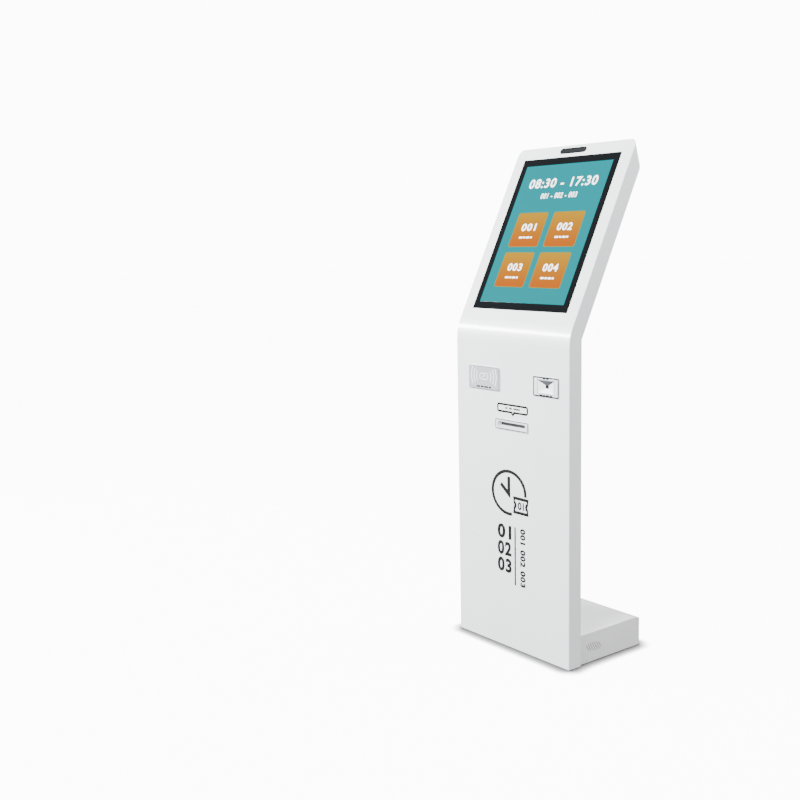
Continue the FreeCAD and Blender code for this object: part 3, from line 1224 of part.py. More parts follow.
def make_fan_rotor(face, middle_y):
    """Fan rotor: a hub with slanted blades, running on the frame's post."""
    depth = size("fan_depth")
    hub_radius = size("fan_hub")
    width = depth - 5
    solid = Part.makeCylinder(hub_radius, width, Vector(0, 0, 0), Vector(1, 0, 0))
    count = int(size("fan_blades"))
    for index in range(count):
        blade = Part.makeBox(1, 7, size("fan_tip") - hub_radius + 1, Vector(-0.5, -3.5, hub_radius - 1.5))
        blade.rotate(Vector(), Vector(0, 0, 1), 40)
        blade.translate(Vector(width / 2, 0, 0))
        blade.rotate(Vector(), Vector(1, 0, 0), 360 / count * index)
        solid = solid.fuse(blade)
    disc = Part.makeCylinder(size("fan_tip"), width, Vector(0, 0, 0), Vector(1, 0, 0))
    bore = Part.makeCylinder(1.5 + size("running_gap"), depth * 2, Vector(-depth, 0, 0), Vector(1, 0, 0))
    rotor = doc.addObject("Part::Feature", "fan_rotor")
    rotor.Shape = solid.common(disc).cut(bore)
    put(rotor, (f"{face} - fan_depth + 2 + fit_gap * 2", middle_y, "vent_z"))
    node(rotor, "fan_rotor")


def make_power_entry():
    """Mains inlet and rocker switch in the back of the base."""
    flange = "(inlet_width + 2 * inlet_flange)"
    body = box("inlet_body", (centred("inlet_x", "inlet_width"), (f"{REAR} - inlet_depth", REAR),
                              centred("inlet_z", "inlet_height")))
    rim = box("inlet_rim", (centred("inlet_x", flange), (REAR, f"{REAR} + shell_wall"),
                            centred("inlet_z", "inlet_height + 2 * inlet_flange")))
    recess = box("inlet_recess", (centred("inlet_x", "inlet_width - 2 * rail_wall"),
                                  (f"{REAR} - inlet_depth + rail_wall", f"{REAR} + 2 * shell_wall"),
                                  centred("inlet_z", "inlet_height - 2 * rail_wall")))
    shell = cut("inlet_shell", fuse("inlet_solid", [body, rim]), [recess])
    blades = []
    for index, (across, up) in enumerate(((-7, -1.5), (0, 2.5), (7, -1.5))):
        blades.append(box(f"inlet_blade_{index}", (centred(f"inlet_x + {across}", "2"),
                                                   (f"{REAR} - inlet_depth + rail_wall / 2", f"{REAR} - 3"),
                                                   centred(f"inlet_z + {up}", "4"))))
    node(fuse("inlet", [shell, *blades]), "power_inlet")
    case = box("switch_body", (centred("switch_x", "switch_width"), (f"{REAR} - switch_height", REAR),
                               centred("inlet_z", "switch_height")))
    rim = box("switch_rim", (centred("switch_x", "switch_width + 2 * inlet_flange"),
                             (REAR, f"{REAR} + shell_wall"),
                             centred("inlet_z", "switch_height + 2 * inlet_flange")))
    well = box("switch_well", (centred("switch_x", "rocker_width + 2 * fit_gap"),
                               (f"{REAR} - rocker_radius - shell_wall", f"{REAR} + 2 * shell_wall"),
                               centred("inlet_z", "2 * rocker_half + 3")))
    node(cut("switch", fuse("switch_solid", [case, rim]), [well]), "switch_case")
    axis_y = f"({REAR} + shell_wall + 1 - rocker_radius)"
    drum = rod("rocker_drum", "rocker_radius", "rocker_width",
               ("switch_x - rocker_width / 2", axis_y, "inlet_z"), "x")
    limit = box("rocker_limit", (centred("switch_x", "rocker_width * 2"),
                                 (f"{axis_y} - 2", f"{axis_y} + rocker_radius * 2"),
                                 centred("inlet_z", "2 * rocker_half")))
    rocker = doc.addObject("Part::MultiCommon", "rocker")
    rocker.Shapes = [drum, limit]
    node(rocker, "switch_rocker")


def check_and_write():
    """Check every object and write each sub-part as a STEP file."""
    doc.recompute()
    for obj in doc.Objects:
        if "Invalid" in obj.State or "Error" in obj.State:
            raise RuntimeError(f"{obj.Name} failed: {obj.State}")
    os.makedirs("parts", exist_ok=True)
    for obj in nodes:
        shape = obj.Shape
        if shape.isNull() or not shape.isValid() or not shape.Solids:
            raise RuntimeError(f"{obj.Label} has no valid solid")
        shape.exportStep(f"parts/{obj.Label}.step")
        bounds = shape.BoundBox
        print(f"{obj.Label}: {len(shape.Solids)} solids, {shape.Volume / 1000:.1f} cm3, "
              f"x {bounds.XMin:.1f}..{bounds.XMax:.1f} y {bounds.YMin:.1f}..{bounds.YMax:.1f} "
              f"z {bounds.ZMin:.1f}..{bounds.ZMax:.1f}")


def build():
    """Build the whole kiosk."""
    fill_sheet()
    make_front_shell()
    make_head_back_cover()
    make_column_back_cover()
    make_touch_display()
    make_frame_rails()
    make_sensor()
    make_card_reader()
    make_scanner()
    make_ticket_mouth()
    make_printer_housing()
    make_service_door()
    make_door_hinges()
    make_door_lock()
    make_printer_frame()
    make_paper_roll()
    make_printer_drive()
    make_print_head()
    make_cutter()
    make_printer_lid()
    make_base_plate()
    make_base_cover()
    make_base_units()
    make_power_entry()
    check_and_write()


build()
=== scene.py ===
"""Looks of the queue ticket kiosk: finishes, printed marks, screen picture and small fittings.

Every length below is in millimetres unless its name ends in _m. A Face gives the plane that marks lie on:
its own x runs across, its own y runs up and its own z stands out of the surface.
"""

import json
import logging
import math
from dataclasses import dataclass, field, replace
from enum import Enum
from typing import Any

import bmesh
import bpy
from bpy.types import ID, Material, Mesh, Node, NodeSocket, NodeTree, Object, World
from mathutils import Matrix, Vector


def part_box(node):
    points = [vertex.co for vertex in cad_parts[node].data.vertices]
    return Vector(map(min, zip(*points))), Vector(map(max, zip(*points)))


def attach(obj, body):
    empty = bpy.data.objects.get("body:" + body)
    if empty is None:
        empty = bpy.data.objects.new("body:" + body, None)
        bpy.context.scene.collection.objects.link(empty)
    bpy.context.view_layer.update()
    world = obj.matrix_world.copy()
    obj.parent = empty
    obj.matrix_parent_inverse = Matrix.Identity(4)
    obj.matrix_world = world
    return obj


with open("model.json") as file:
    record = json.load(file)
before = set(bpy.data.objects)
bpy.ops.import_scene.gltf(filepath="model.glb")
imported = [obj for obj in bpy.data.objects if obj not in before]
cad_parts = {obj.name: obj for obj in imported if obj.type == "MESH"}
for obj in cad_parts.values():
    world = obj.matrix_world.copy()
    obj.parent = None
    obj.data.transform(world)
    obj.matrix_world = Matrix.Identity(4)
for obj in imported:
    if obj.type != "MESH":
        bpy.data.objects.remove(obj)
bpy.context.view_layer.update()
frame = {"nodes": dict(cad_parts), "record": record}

log = logging.getLogger("kiosk")
MM = 0.001

FRONT_Y = -139.0
COLUMN_BACK_Y = -97.0
REAR_Y = 139.0
BEND_Z = 833.0
TILT = math.radians(26.7)
BODY_DEPTH = 42.0

# A printed layer is drawn thicker than real ink, so that it stands clear of the paint under it.
INK = 0.15
CORNER_STEPS = 5
BAND_STEPS = 48
# Points of a mesh that lie closer than this are one point.
MERGE_M = 1e-6
# Height of a figure as a share of the font's size, and the letter spacing in a line of a given length.
FIGURE_SHARE = 0.7
LOOSE_SPACING = 1.15

Point = tuple[float, float]
Triple = tuple[float, float, float]
Outline = list[Point]
Paints = dict[str, Material]


class Body(Enum):
    """Moving bodies of the kiosk that pieces ride on."""

    CABINET = "cabinet"
    ROCKER = "rocker"


class Slot(Enum):
    """Material slots of the record; each added piece holds one, which this script doesn't read."""

    SHELL = "white_shell"
    DISPLAY = "display"
    PAD = "pale_plastic"
    LENS = "smoke_lens"
    STEEL = "bright_steel"
    ALUMINIUM = "aluminium"
    BLACK = "black_plastic"


def linear(colour: str) -> tuple[float, float, float, float]:
    """Turn an sRGB hex colour into linear red, green, blue and alpha.

    Args:
        colour: six hex digits, such as "e8eaea".

    Returns:
        The four channels, with alpha 1.
    """
    channels = [int(colour[start:start + 2], 16) / 255 for start in (0, 2, 4)]
    red, green, blue = (c / 12.92 if c <= 0.04045 else ((c + 0.055) / 1.055) ** 2.4 for c in channels)
    return (red, green, blue, 1.0)


def add_node(tree: NodeTree, kind: str, settings: dict[Any, Any] | None = None,
             links: dict[Any, NodeSocket] | None = None) -> Node:
    """Add one node with its settings and links.

    Args:
        tree: the tree that gets the node.
        kind: the node's type name.
        settings: a property's name, or an input's name or number, with its value; "stops" gives a
            ramp's places and colours.
        links: an input's name or number with the output that feeds it.

    Returns:
        The new node.
    """
    made = tree.nodes.new(kind)
    for key, value in (settings or {}).items():
        if key == "stops":
            for index, (place, colour) in enumerate(value):
                stop = made.color_ramp.elements[index] if index < 2 else made.color_ramp.elements.new(place)
                stop.position = place
                stop.color = colour
        elif isinstance(key, str) and key.islower() and hasattr(made, key):
            setattr(made, key, value)
        else:
            made.inputs[key].default_value = value
    for key, source in (links or {}).items():
        tree.links.new(source, made.inputs[key])
    return made


def bare_tree(owner: Material | World) -> NodeTree:
    """Give a new material or sky an empty node tree.

    Args:
        owner: the material or sky.

    Returns:
        Its emptied tree.
    """
    owner.use_nodes = True
    owner.node_tree.nodes.clear()
    return owner.node_tree


def stand(name: str, data: ID) -> Object:
    """Put an object into the scene.

    Args:
        name: the object's name.
        data: what it shows.

    Returns:
        The object, at the origin.
    """
    made = bpy.data.objects.new(name, data)
    bpy.context.scene.collection.objects.link(made)
    return made


@dataclass(frozen=True)
class Finish:
    """A surface finish: a base colour that varies a little, a sheen and a fine relief.

    The noise that varies the colour is broad, as handling and coating leave it. The relief is fine.
    Each colour is full from its own level of the noise, given by tone_places.
    """

    name: str
    colour: str
    second: str
    roughness: float
    spread: float = 0.05
    patch_mm: float = 90.0
    grain_mm: float = 3.0
    relief: float = 0.02
    stretch: Triple = (1.0, 1.0, 1.0)
    metallic: float = 0.0
    coat: float = 0.0
    coat_roughness: float = 0.1
    ior: float = 1.5
    tone_places: Point = (0.32, 0.68)
    bump: float = 0.6

    def build(self) -> Material:
        """Make the material with its constant sockets, then dress its shader.

        Returns:
            The finished material.
        """
        material = bpy.data.materials.new(self.name)
        tree = bare_tree(material)
        shader = add_node(tree, "ShaderNodeBsdfPrincipled", {
            "Metallic": self.metallic, "Roughness": self.roughness,
            "Coat Weight": self.coat, "Coat Roughness": self.coat_roughness,
        })
        # A metal keeps the shader's own IOR.
        if not self.metallic:
            shader.inputs["IOR"].default_value = self.ior
        add_node(tree, "ShaderNodeOutputMaterial", links={"Surface": shader.outputs["BSDF"]})
        self.dress(tree, shader, add_node(tree, "ShaderNodeTexCoord").outputs["Object"])
        return material

    def dress(self, tree: NodeTree, shader: Node, place: NodeSocket) -> None:
        """Give the shader its colour, its roughness and its relief from noise.

        Args:
            tree: the material's tree.
            shader: the surface shader.
            place: object coordinates in metres.
        """
        patches = add_node(tree, "ShaderNodeTexNoise", {"Scale": 1000 / self.patch_mm, "Detail": 3.0},
                           {"Vector": place})
        low, high = self.tone_places
        tones = add_node(tree, "ShaderNodeValToRGB",
                         {"stops": [(low, linear(self.colour)), (high, linear(self.second))]},
                         {"Fac": patches.outputs["Fac"]})
        tree.links.new(tones.outputs["Color"], shader.inputs["Base Color"])
        drawn = add_node(tree, "ShaderNodeMapping", {"Scale": self.stretch}, {"Vector": place})
        grain = add_node(tree, "ShaderNodeTexNoise", {"Scale": 1000 / self.grain_mm, "Detail": 4.0},
                         {"Vector": drawn.outputs["Vector"]})
        sheen = add_node(tree, "ShaderNodeMapRange", {
            "To Min": self.roughness - self.spread, "To Max": self.roughness + self.spread,
        }, {"Value": grain.outputs["Fac"]})
        tree.links.new(sheen.outputs["Result"], shader.inputs["Roughness"])
        bump = add_node(tree, "ShaderNodeBump", {"Strength": self.bump, "Distance": self.relief * MM},
                        {"Height": grain.outputs["Fac"]})
        tree.links.new(bump.outputs["Normal"], shader.inputs["Normal"])


@dataclass(frozen=True)
class WoundPaper(Finish):
    """Thermal paper wound on a core: its ends show the turns as fine rings.

    Real turns are 0.06 mm apart, too fine to show, so they are drawn a millimetre apart.
    """

    axis_y: float = 0.0
    axis_z: float = 0.0
    turn_mm: float = 1.0

    def dress(self, tree: NodeTree, shader: Node, place: NodeSocket) -> None:
        """Give the shader the two tones of the turns, in rings about the core.

        Args:
            tree: the material's tree.
            shader: the surface shader.
            place: object coordinates in metres.
        """
        centred = add_node(tree, "ShaderNodeMapping", {
            "Location": (0.0, -self.axis_y * MM, -self.axis_z * MM), "Scale": (0.0, 1.0, 1.0),
        }, {"Vector": place})
        away = add_node(tree, "ShaderNodeVectorMath", {"operation": "LENGTH"},
                        {0: centred.outputs["Vector"]})
        per_metre = 2 * math.pi / (self.turn_mm * MM)
        turns = add_node(tree, "ShaderNodeMath", {"operation": "MULTIPLY", 1: per_metre},
                         {0: away.outputs["Value"]})
        wave = add_node(tree, "ShaderNodeMath", {"operation": "SINE"}, {0: turns.outputs["Value"]})
        share = add_node(tree, "ShaderNodeMapRange", {"From Min": -1.0}, {"Value": wave.outputs["Value"]})
        tones = add_node(tree, "ShaderNodeValToRGB",
                         {"stops": [(0.0, linear(self.colour)), (1.0, linear(self.second))]},
                         {"Fac": share.outputs["Result"]})
        tree.links.new(tones.outputs["Color"], shader.inputs["Base Color"])


@dataclass(frozen=True)
class BoardFinish(Finish):
    """Circuit board: green lacquer over copper tracks, which show as slightly lighter squared lines."""

    track_mm: float = 6.0
    track_places: Point = (0.45, 0.5)

    def dress(self, tree: NodeTree, shader: Node, place: NodeSocket) -> None:
        """Give the shader the lacquer's colour with the tracks in it.

        Args:
            tree: the material's tree.
            shader: the surface shader.
            place: object coordinates in metres.
        """
        tracks = add_node(tree, "ShaderNodeTexVoronoi", {
            "distance": "CHEBYCHEV", "feature": "F2", "Scale": 1000 / self.track_mm,
        }, {"Vector": place})
        low, high = self.track_places
        tones = add_node(tree, "ShaderNodeValToRGB",
                         {"stops": [(low, linear(self.colour)), (high, linear(self.second))]},
                         {"Fac": tracks.outputs["Distance"]})
        tree.links.new(tones.outputs["Color"], shader.inputs["Base Color"])


@dataclass(frozen=True)
class LitFinish(Finish):
    """A lit part of the screen: it glows evenly, with a slow change of colour up its height.

    The glass itself is nearly black, so only a small share of the colour is left when it is off.
    """

    low_m: float = 0.9
    high_m: float = 1.25
    glow: float = 0.35
    third: str = ""
    unlit_share: float = 0.015

    def dress(self, tree: NodeTree, shader: Node, place: NodeSocket) -> None:
        """Give the shader its glow and the dark colour of the glass when it is off.

        Args:
            tree: the material's tree.
            shader: the surface shader.
            place: object coordinates in metres.
        """
        parts = add_node(tree, "ShaderNodeSeparateXYZ", links={"Vector": place})
        rise = add_node(tree, "ShaderNodeMapRange", {"From Min": self.low_m, "From Max": self.high_m},
                        {"Value": parts.outputs["Z"]})
        stops = [(0.0, linear(self.colour)), (1.0, linear(self.second))]
        if self.third:
            stops.append((0.5, linear(self.third)))
        tones = add_node(tree, "ShaderNodeValToRGB", {"stops": stops}, {"Fac": rise.outputs["Result"]})
        unlit = add_node(tree, "ShaderNodeVectorMath", {"operation": "SCALE", "Scale": self.unlit_share},
                         {0: tones.outputs["Color"]})
        tree.links.new(unlit.outputs["Vector"], shader.inputs["Base Color"])
        tree.links.new(tones.outputs["Color"], shader.inputs["Emission Color"])
        shader.inputs["Emission Strength"].default_value = self.glow


@dataclass(frozen=True)
class Face:
    """A plane that pieces are laid on, given by its origin and its three directions."""

    origin: Triple
    across: Triple
    up: Triple
    out: Triple

    def matrix(self, proud: float = 0.0) -> Matrix:
        """Return the matrix that lays local metres on the plane.

        Args:
            proud: how far the piece starts in front of the plane.

        Returns:
            The four by four matrix into the row frame.
        """
        start = (Vector(self.origin) + Vector(self.out) * proud) * MM
        columns = (Vector(self.across), Vector(self.up), Vector(self.out))
        turn = Matrix(columns).transposed().to_4x4()
        return Matrix.Translation(start) @ turn


SIN, COS = math.sin(TILT), math.cos(TILT)
COLUMN_FRONT = Face((0.0, FRONT_Y, 0.0), (1, 0, 0), (0, 0, 1), (0, -1, 0))
HEAD_FRONT = Face((0.0, FRONT_Y, BEND_Z), (1, 0, 0), (0, SIN, COS), (0, -COS, SIN))
HEAD_BACK = Face((0.0, FRONT_Y + BODY_DEPTH * COS, BEND_Z - BODY_DEPTH * SIN), (-1, 0, 0), (0, SIN, COS),
                 (0, COS, -SIN))
COLUMN_BACK = Face((0.0, COLUMN_BACK_Y, 0.0), (-1, 0, 0), (0, 0, 1), (0, 1, 0))
BASE_REAR = Face((0.0, REAR_Y, 0.0), (-1, 0, 0), (0, 0, 1), (0, 1, 0))


def arc(centre: Point, radius: float, start: float, end: float, steps: int = 24) -> Outline:
    """Return points along an arc.

    Args:
        centre: middle of the arc.
        radius: its radius.
        start: angle of the first point, in degrees.
        end: angle of the last point, in degrees.
        steps: edges along the arc.

    Returns:
        The arc's points.
    """
    across, up = centre
    angles = [math.radians(start + (end - start) * step / steps) for step in range(steps + 1)]
    return [(across + radius * math.cos(angle), up + radius * math.sin(angle)) for angle in angles]


@dataclass(frozen=True)
class Box:
    """An upright rectangle on a face, given by its lower left and upper right corners."""

    low: Point
    high: Point

    @classmethod
    def about(cls, middle: Point, size: Point) -> "Box":
        """Return the box of a width and a height about its middle."""
        across, up = size[0] / 2, size[1] / 2
        return cls((middle[0] - across, middle[1] - up), (middle[0] + across, middle[1] + up))

    @property
    def middle(self) -> Point:
        """Return the middle of the box."""
        return ((self.low[0] + self.high[0]) / 2, (self.low[1] + self.high[1]) / 2)

    def inset(self, by: float) -> "Box":
        """Return the box with each side moved in."""
        return Box((self.low[0] + by, self.low[1] + by), (self.high[0] - by, self.high[1] - by))

    def corners(self) -> list[Point]:
        """Return its corners: the two on the left, then the two on the right."""
        sides, levels = (self.low[0], self.high[0]), (self.low[1], self.high[1])
        return [(across, up) for across in sides for up in levels]

    def rounded(self, corner: float, steps: int = CORNER_STEPS) -> Outline:
        """Return the outline with rounded corners, counter-clockwise from the top right.

        Args:
            corner: corner radius.
            steps: edges in one corner.

        Returns:
            The outline's points.
        """
        core = self.inset(corner)
        top_left = (core.low[0], core.high[1])
        bottom_right = (core.high[0], core.low[1])
        points: Outline = []
        for quarter, centre in enumerate((core.high, top_left, core.low, bottom_right)):
            points += arc(centre, corner, quarter * 90, quarter * 90 + 90, steps)
        return points

    def line(self, corner: float, width: float) -> list[Outline]:
        """Return a thin line that follows the inside of the box's edge.

        Args:
            corner: outer corner radius.
            width: width of the line.

        Returns:
            The line's outer and inner outline.
        """
        return [self.rounded(corner), self.inset(width).rounded(corner - width)]


def band(centre: Point, radius: float, width: float, start: float, end: float,
         squash: float = 1.0) -> Outline:
    """Return the outline of a curved band of one width.

    Args:
        centre: middle of the arc.
        radius: outer radius.
        width: width of the band.
        start: first angle in degrees.
        end: last angle in degrees.
        squash: height of the whole ring as a share of its width.

    Returns:
        The closed outline.
    """
    outer = arc(centre, radius, start, end, BAND_STEPS)
    inner = arc(centre, radius - width, end, start, BAND_STEPS)
    return [(across, centre[1] + (up - centre[1]) * squash) for across, up in outer + inner]


def stroke(path: Outline, width: float) -> Outline:
    """Return the outline of a bent line of one width, with pointed corners.

    Args:
        path: the line's points.
        width: its width.

    Returns:
        The closed outline.
    """
    points = [Vector(point) for point in path]
    runs = [(end - start).normalized() for start, end in zip(points, points[1:])]
    left: Outline = []
    right: Outline = []
    for index, point in enumerate(points):
        before, after = runs[max(index - 1, 0)], runs[min(index, len(runs) - 1)]
        normal = Vector((-before.y - after.y, before.x + after.x)).normalized()
        reach = width / 2 / normal.dot(Vector((-before.y, before.x)))
        left.append(tuple(point + normal * reach))
        right.append(tuple(point - normal * reach))
    return left + right[::-1]


def facets(outer: list[Vector], inner: list[Vector], thickness: float) -> Mesh:
    """Return sloped plates side by side, closed all round.

    Args:
        outer: corners of the outer edge, in millimetres, with the height in z.
        inner: corners of the inner edge, one for each outer corner.
        thickness: how thick the plates are.

    Returns:
        The mesh, in metres.
    """
    down = Vector((0.0, 0.0, thickness))
    points = []
    for rim, throat in zip(outer, inner):
        points += [rim * MM, throat * MM, (rim - down) * MM, (throat - down) * MM]
    faces = [(0, 1, 3, 2)]
    for start in range(0, len(points) - 4, 4):
        end = start + 4
        faces += [(start, end, end + 1, start + 1), (start + 2, start + 3, end + 3, end + 2),
                  (start, start + 2, end + 2, end), (start + 1, end + 1, end + 3, start + 3)]
    last = len(points) - 4
    faces.append((last, last + 2, last + 3, last + 1))
    mesh = bpy.data.meshes.new("facets")
    mesh.from_pydata(points, [], faces)
    return tidy(mesh)


@dataclass(frozen=True)
class Words:
    """A small notice whose words are rounded bars on one line."""

    widths: tuple[float, ...]
    height: float
    gap: float
    corner_share: float = 0.3
    corner_steps: int = 3

    def bars(self, middle: Point) -> list[Outline]:
        """Return the bars, centred on a point.

        Args:
            middle: the line's middle.

        Returns:
            One outline for each bar.
        """
        across = middle[0] - (sum(self.widths) + self.gap * (len(self.widths) - 1)) / 2
        low, high = middle[1] - self.height / 2, middle[1] + self.height / 2
        shapes = []
        for width in self.widths:
            bar = Box((across, low), (across + width, high))
            shapes.append(bar.rounded(self.height * self.corner_share, self.corner_steps))
            across += width + self.gap
        return shapes


@dataclass(frozen=True)
class Figures:
    """Size and boldness of a line of figures.

    The weight is how far its strokes are widened. The width is the length of the whole line, or 0 for
    the font's own length, and the turn is in degrees, counter-clockwise.
    """

    height: float
    weight: float
    width: float = 0.0
    turn: float = 0.0


def tidy(mesh: Mesh) -> Mesh:
    """Merge a mesh's doubled points and turn its faces outwards.

    Args:
        mesh: the mesh.

    Returns:
        The same mesh.
    """
    work = bmesh.new()
    work.from_mesh(mesh)
    bmesh.ops.remove_doubles(work, verts=work.verts, dist=MERGE_M)
    bmesh.ops.recalc_face_normals(work, faces=work.faces)
    work.to_mesh(mesh)
    work.free()
    return mesh


def evaluated(holder: Object) -> Mesh:
    """Return the plain mesh that an object comes out as.

    Args:
        holder: the object, with any modifier it has.

    Returns:
        The mesh.
    """
    graph = bpy.context.evaluated_depsgraph_get()
    return bpy.data.meshes.new_from_object(holder.evaluated_get(graph), depsgraph=graph)


def as_mesh(data: ID) -> Mesh:
    """Turn a curve or text into a tidy mesh, and delete its holder.

    Args:
        data: the curve or text data.

    Returns:
        The mesh.
    """
    holder = stand("holder", data)
    mesh = evaluated(holder)
    bpy.data.objects.remove(holder)
    return tidy(mesh)


@dataclass
class Piece:
    """A finished piece of the scene: its name, body, slot and material."""

    name: str
    slot: Slot
    material: Material
    body: Body = Body.CABINET

    def place(self, mesh: Mesh, at: Matrix) -> Object:
        """Put a mesh in its place and hand it to its body.

        Args:
            mesh: the mesh in local metres.
            at: the matrix that puts it in the row frame.

        Returns:
            The object, which stands at the origin with its place in its mesh.
        """
        mesh.transform(at)
        mesh.name = self.name
        mesh.materials.clear()
        mesh.materials.append(self.material)
        made = stand(self.name, mesh)
        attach(made, self.body.value)
        log.info("%s rides on %s, %d faces", self.name, self.body.value, len(mesh.polygons))
        return made

    def plate(self, shapes: list[Outline], proud: float = 0.0, thickness: float = INK,
              face: Face = COLUMN_FRONT) -> Object:
        """Make flat shapes of one thickness, with nested outlines as holes.

        Args:
            shapes: closed outlines on the face.
            proud: where the plate's underside lies.
            thickness: how thick it is.
            face: the plane it lies on.

        Returns:
            The placed object.
        """
        curve = bpy.data.curves.new(self.name, "CURVE")
        curve.dimensions = "2D"
        curve.fill_mode = "BOTH"
        curve.extrude = thickness / 2 * MM
        for shape in shapes:
            spline = curve.splines.new("POLY")
            spline.points.add(len(shape) - 1)
            for point, (across, up) in zip(spline.points, shape):
                point.co = (across * MM, up * MM, 0.0, 1.0)
            spline.use_cyclic_u = True
        return self.place(as_mesh(curve), face.matrix(proud + thickness / 2))

    def numbers(self, text: str, middle: Point, style: Figures, proud: float = 0.0,
                thickness: float = INK, face: Face = COLUMN_FRONT) -> Object:
        """Make figures of one height, centred on a point of a face.

        Args:
            text: the figures.
            middle: their middle on the face.
            style: their size and boldness.
            proud: where their underside lies.
            thickness: how thick they are.
            face: the plane they lie on.

        Returns:
            The placed object.
        """
        letters = bpy.data.curves.new(self.name, "FONT")
        letters.body = text
        letters.size = style.height / FIGURE_SHARE * MM
        letters.offset = style.weight * MM
        letters.extrude = thickness / 2 * MM
        letters.space_character = LOOSE_SPACING if style.width else 1.0
        mesh = as_mesh(letters)
        lows = [min(vertex.co[axis] for vertex in mesh.vertices) for axis in (0, 1)]
        highs = [max(vertex.co[axis] for vertex in mesh.vertices) for axis in (0, 1)]
        centre = Vector(((lows[0] + highs[0]) / 2, (lows[1] + highs[1]) / 2, 0.0))
        tall = style.height * MM / (highs[1] - lows[1])
        wide = style.width * MM / (highs[0] - lows[0]) if style.width else tall
        sized = Matrix.Diagonal((wide, tall, 1.0, 1.0)) @ Matrix.Translation(-centre)
        spun = Matrix.Rotation(math.radians(style.turn), 4, "Z")
        moved = Matrix.Translation(Vector((middle[0] * MM, middle[1] * MM, 0.0)))
        return self.place(mesh, face.matrix(proud + thickness / 2) @ moved @ spun @ sized)

    def grown(self, tree: NodeTree, inputs: dict[str, Any], points: list[Point], face: Face,
              proud: float = 0.0) -> Object:
        """Run a geometry tree on a set of points and place its plain mesh.

        Args:
            tree: the geometry tree.
            inputs: the modifier's input values by socket name.
            points: points on the face that the tree starts from.
            face: the plane they lie on.
            proud: where the shapes start.

        Returns:
            The placed object.
        """
        seed = bpy.data.meshes.new(self.name + "_points")
        seed.from_pydata([(across * MM, up * MM, 0.0) for across, up in points], [], [])
        holder = stand(self.name + "_holder", seed)
        modifier = holder.modifiers.new("grow", "NODES")
        modifier.node_group = tree
        keys = {item.name: item.identifier for item in tree.interface.items_tree if item.in_out == "INPUT"}
        for name, value in inputs.items():
            modifier[keys[name]] = value
        modifier[keys["Material"]] = self.material
        mesh = evaluated(holder)
        holder.modifiers.remove(modifier)
        bpy.data.objects.remove(holder)
        return self.place(tidy(mesh), face.matrix(proud))


class Growth:
    """Geometry trees for shapes that repeat."""

    @staticmethod
    def begin(name: str, numbers: list[str]) -> tuple[NodeTree, Node]:
        """Start a tree with a geometry input, named size inputs and a material input.

        Args:
            name: name of the tree.
            numbers: names of its size inputs, in metres.

        Returns:
            The tree and its input node.
        """
        tree = bpy.data.node_groups.new(name, "GeometryNodeTree")
        tree.interface.new_socket("Geometry", in_out="INPUT", socket_type="NodeSocketGeometry")
        for number in numbers:
            tree.interface.new_socket(number, in_out="INPUT", socket_type="NodeSocketFloat")
        tree.interface.new_socket("Material", in_out="INPUT", socket_type="NodeSocketMaterial")
        tree.interface.new_socket("Geometry", in_out="OUTPUT", socket_type="NodeSocketGeometry")
        return tree, add_node(tree, "NodeGroupInput")

    @staticmethod
    def end(tree: NodeTree, given: Node, filled: NodeSocket) -> None:
        """Give a filled outline its thickness, set it on every point and end the tree.

        Args:
            tree: the tree.
            given: its input node.
            filled: the flat filled outline.
        """
        raised = add_node(tree, "GeometryNodeExtrudeMesh", {"Individual": False},
                          {"Mesh": filled, "Offset Scale": given.outputs["Thickness"]})
        under = add_node(tree, "GeometryNodeFlipFaces", links={"Mesh": filled})
        closed = add_node(tree, "GeometryNodeJoinGeometry", links={"Geometry": raised.outputs["Mesh"]})
        tree.links.new(under.outputs["Mesh"], closed.inputs["Geometry"])
        spread = add_node(tree, "GeometryNodeInstanceOnPoints", links={
            "Points": given.outputs["Geometry"], "Instance": closed.outputs["Geometry"],
        })
        real = add_node(tree, "GeometryNodeRealizeInstances",
                        links={"Geometry": spread.outputs["Instances"]})
        dressed = add_node(tree, "GeometryNodeSetMaterial", links={
            "Geometry": real.outputs["Geometry"], "Material": given.outputs["Material"],
        })
        add_node(tree, "NodeGroupOutput", links={"Geometry": dressed.outputs["Geometry"]})

    @classmethod
    def tiles(cls) -> NodeTree:
        """Make a tree that sets one rounded plate on every point.

        Returns:
            The tree.
        """
        tree, given = cls.begin("rounded_tiles", ["Width", "Height", "Corner", "Thickness"])
        outline = add_node(tree, "GeometryNodeCurvePrimitiveQuadrilateral", links={
            "Width": given.outputs["Width"], "Height": given.outputs["Height"],
        })
        soft = add_node(tree, "GeometryNodeFilletCurve", {"mode": "POLY", "Count": 6, "Limit Radius": True},
                        {"Curve": outline.outputs["Curve"], "Radius": given.outputs["Corner"]})
        filled = add_node(tree, "GeometryNodeFillCurve", {"mode": "NGONS"},
                          {"Curve": soft.outputs["Curve"]})
        cls.end(tree, given, filled.outputs["Mesh"])
        return tree

    @classmethod
    def sockets(cls) -> NodeTree:
        """Make a tree that sets one screw crown with a six-sided socket on every point.

        Returns:
            The tree.
        """
        tree, given = cls.begin("socket_crowns", ["Radius", "Socket", "Thickness"])
        rim = add_node(tree, "GeometryNodeCurvePrimitiveCircle", {"Resolution": 24},
                       {"Radius": given.outputs["Radius"]})
        hole = add_node(tree, "GeometryNodeCurvePrimitiveCircle", {"Resolution": 6},
                        {"Radius": given.outputs["Socket"]})
        both = add_node(tree, "GeometryNodeJoinGeometry", links={"Geometry": rim.outputs["Curve"]})
        tree.links.new(hole.outputs["Curve"], both.inputs["Geometry"])
        filled = add_node(tree, "GeometryNodeFillCurve", {"mode": "NGONS"},
                          {"Curve": both.outputs["Geometry"]})
        cls.end(tree, given, filled.outputs["Mesh"])
        return tree


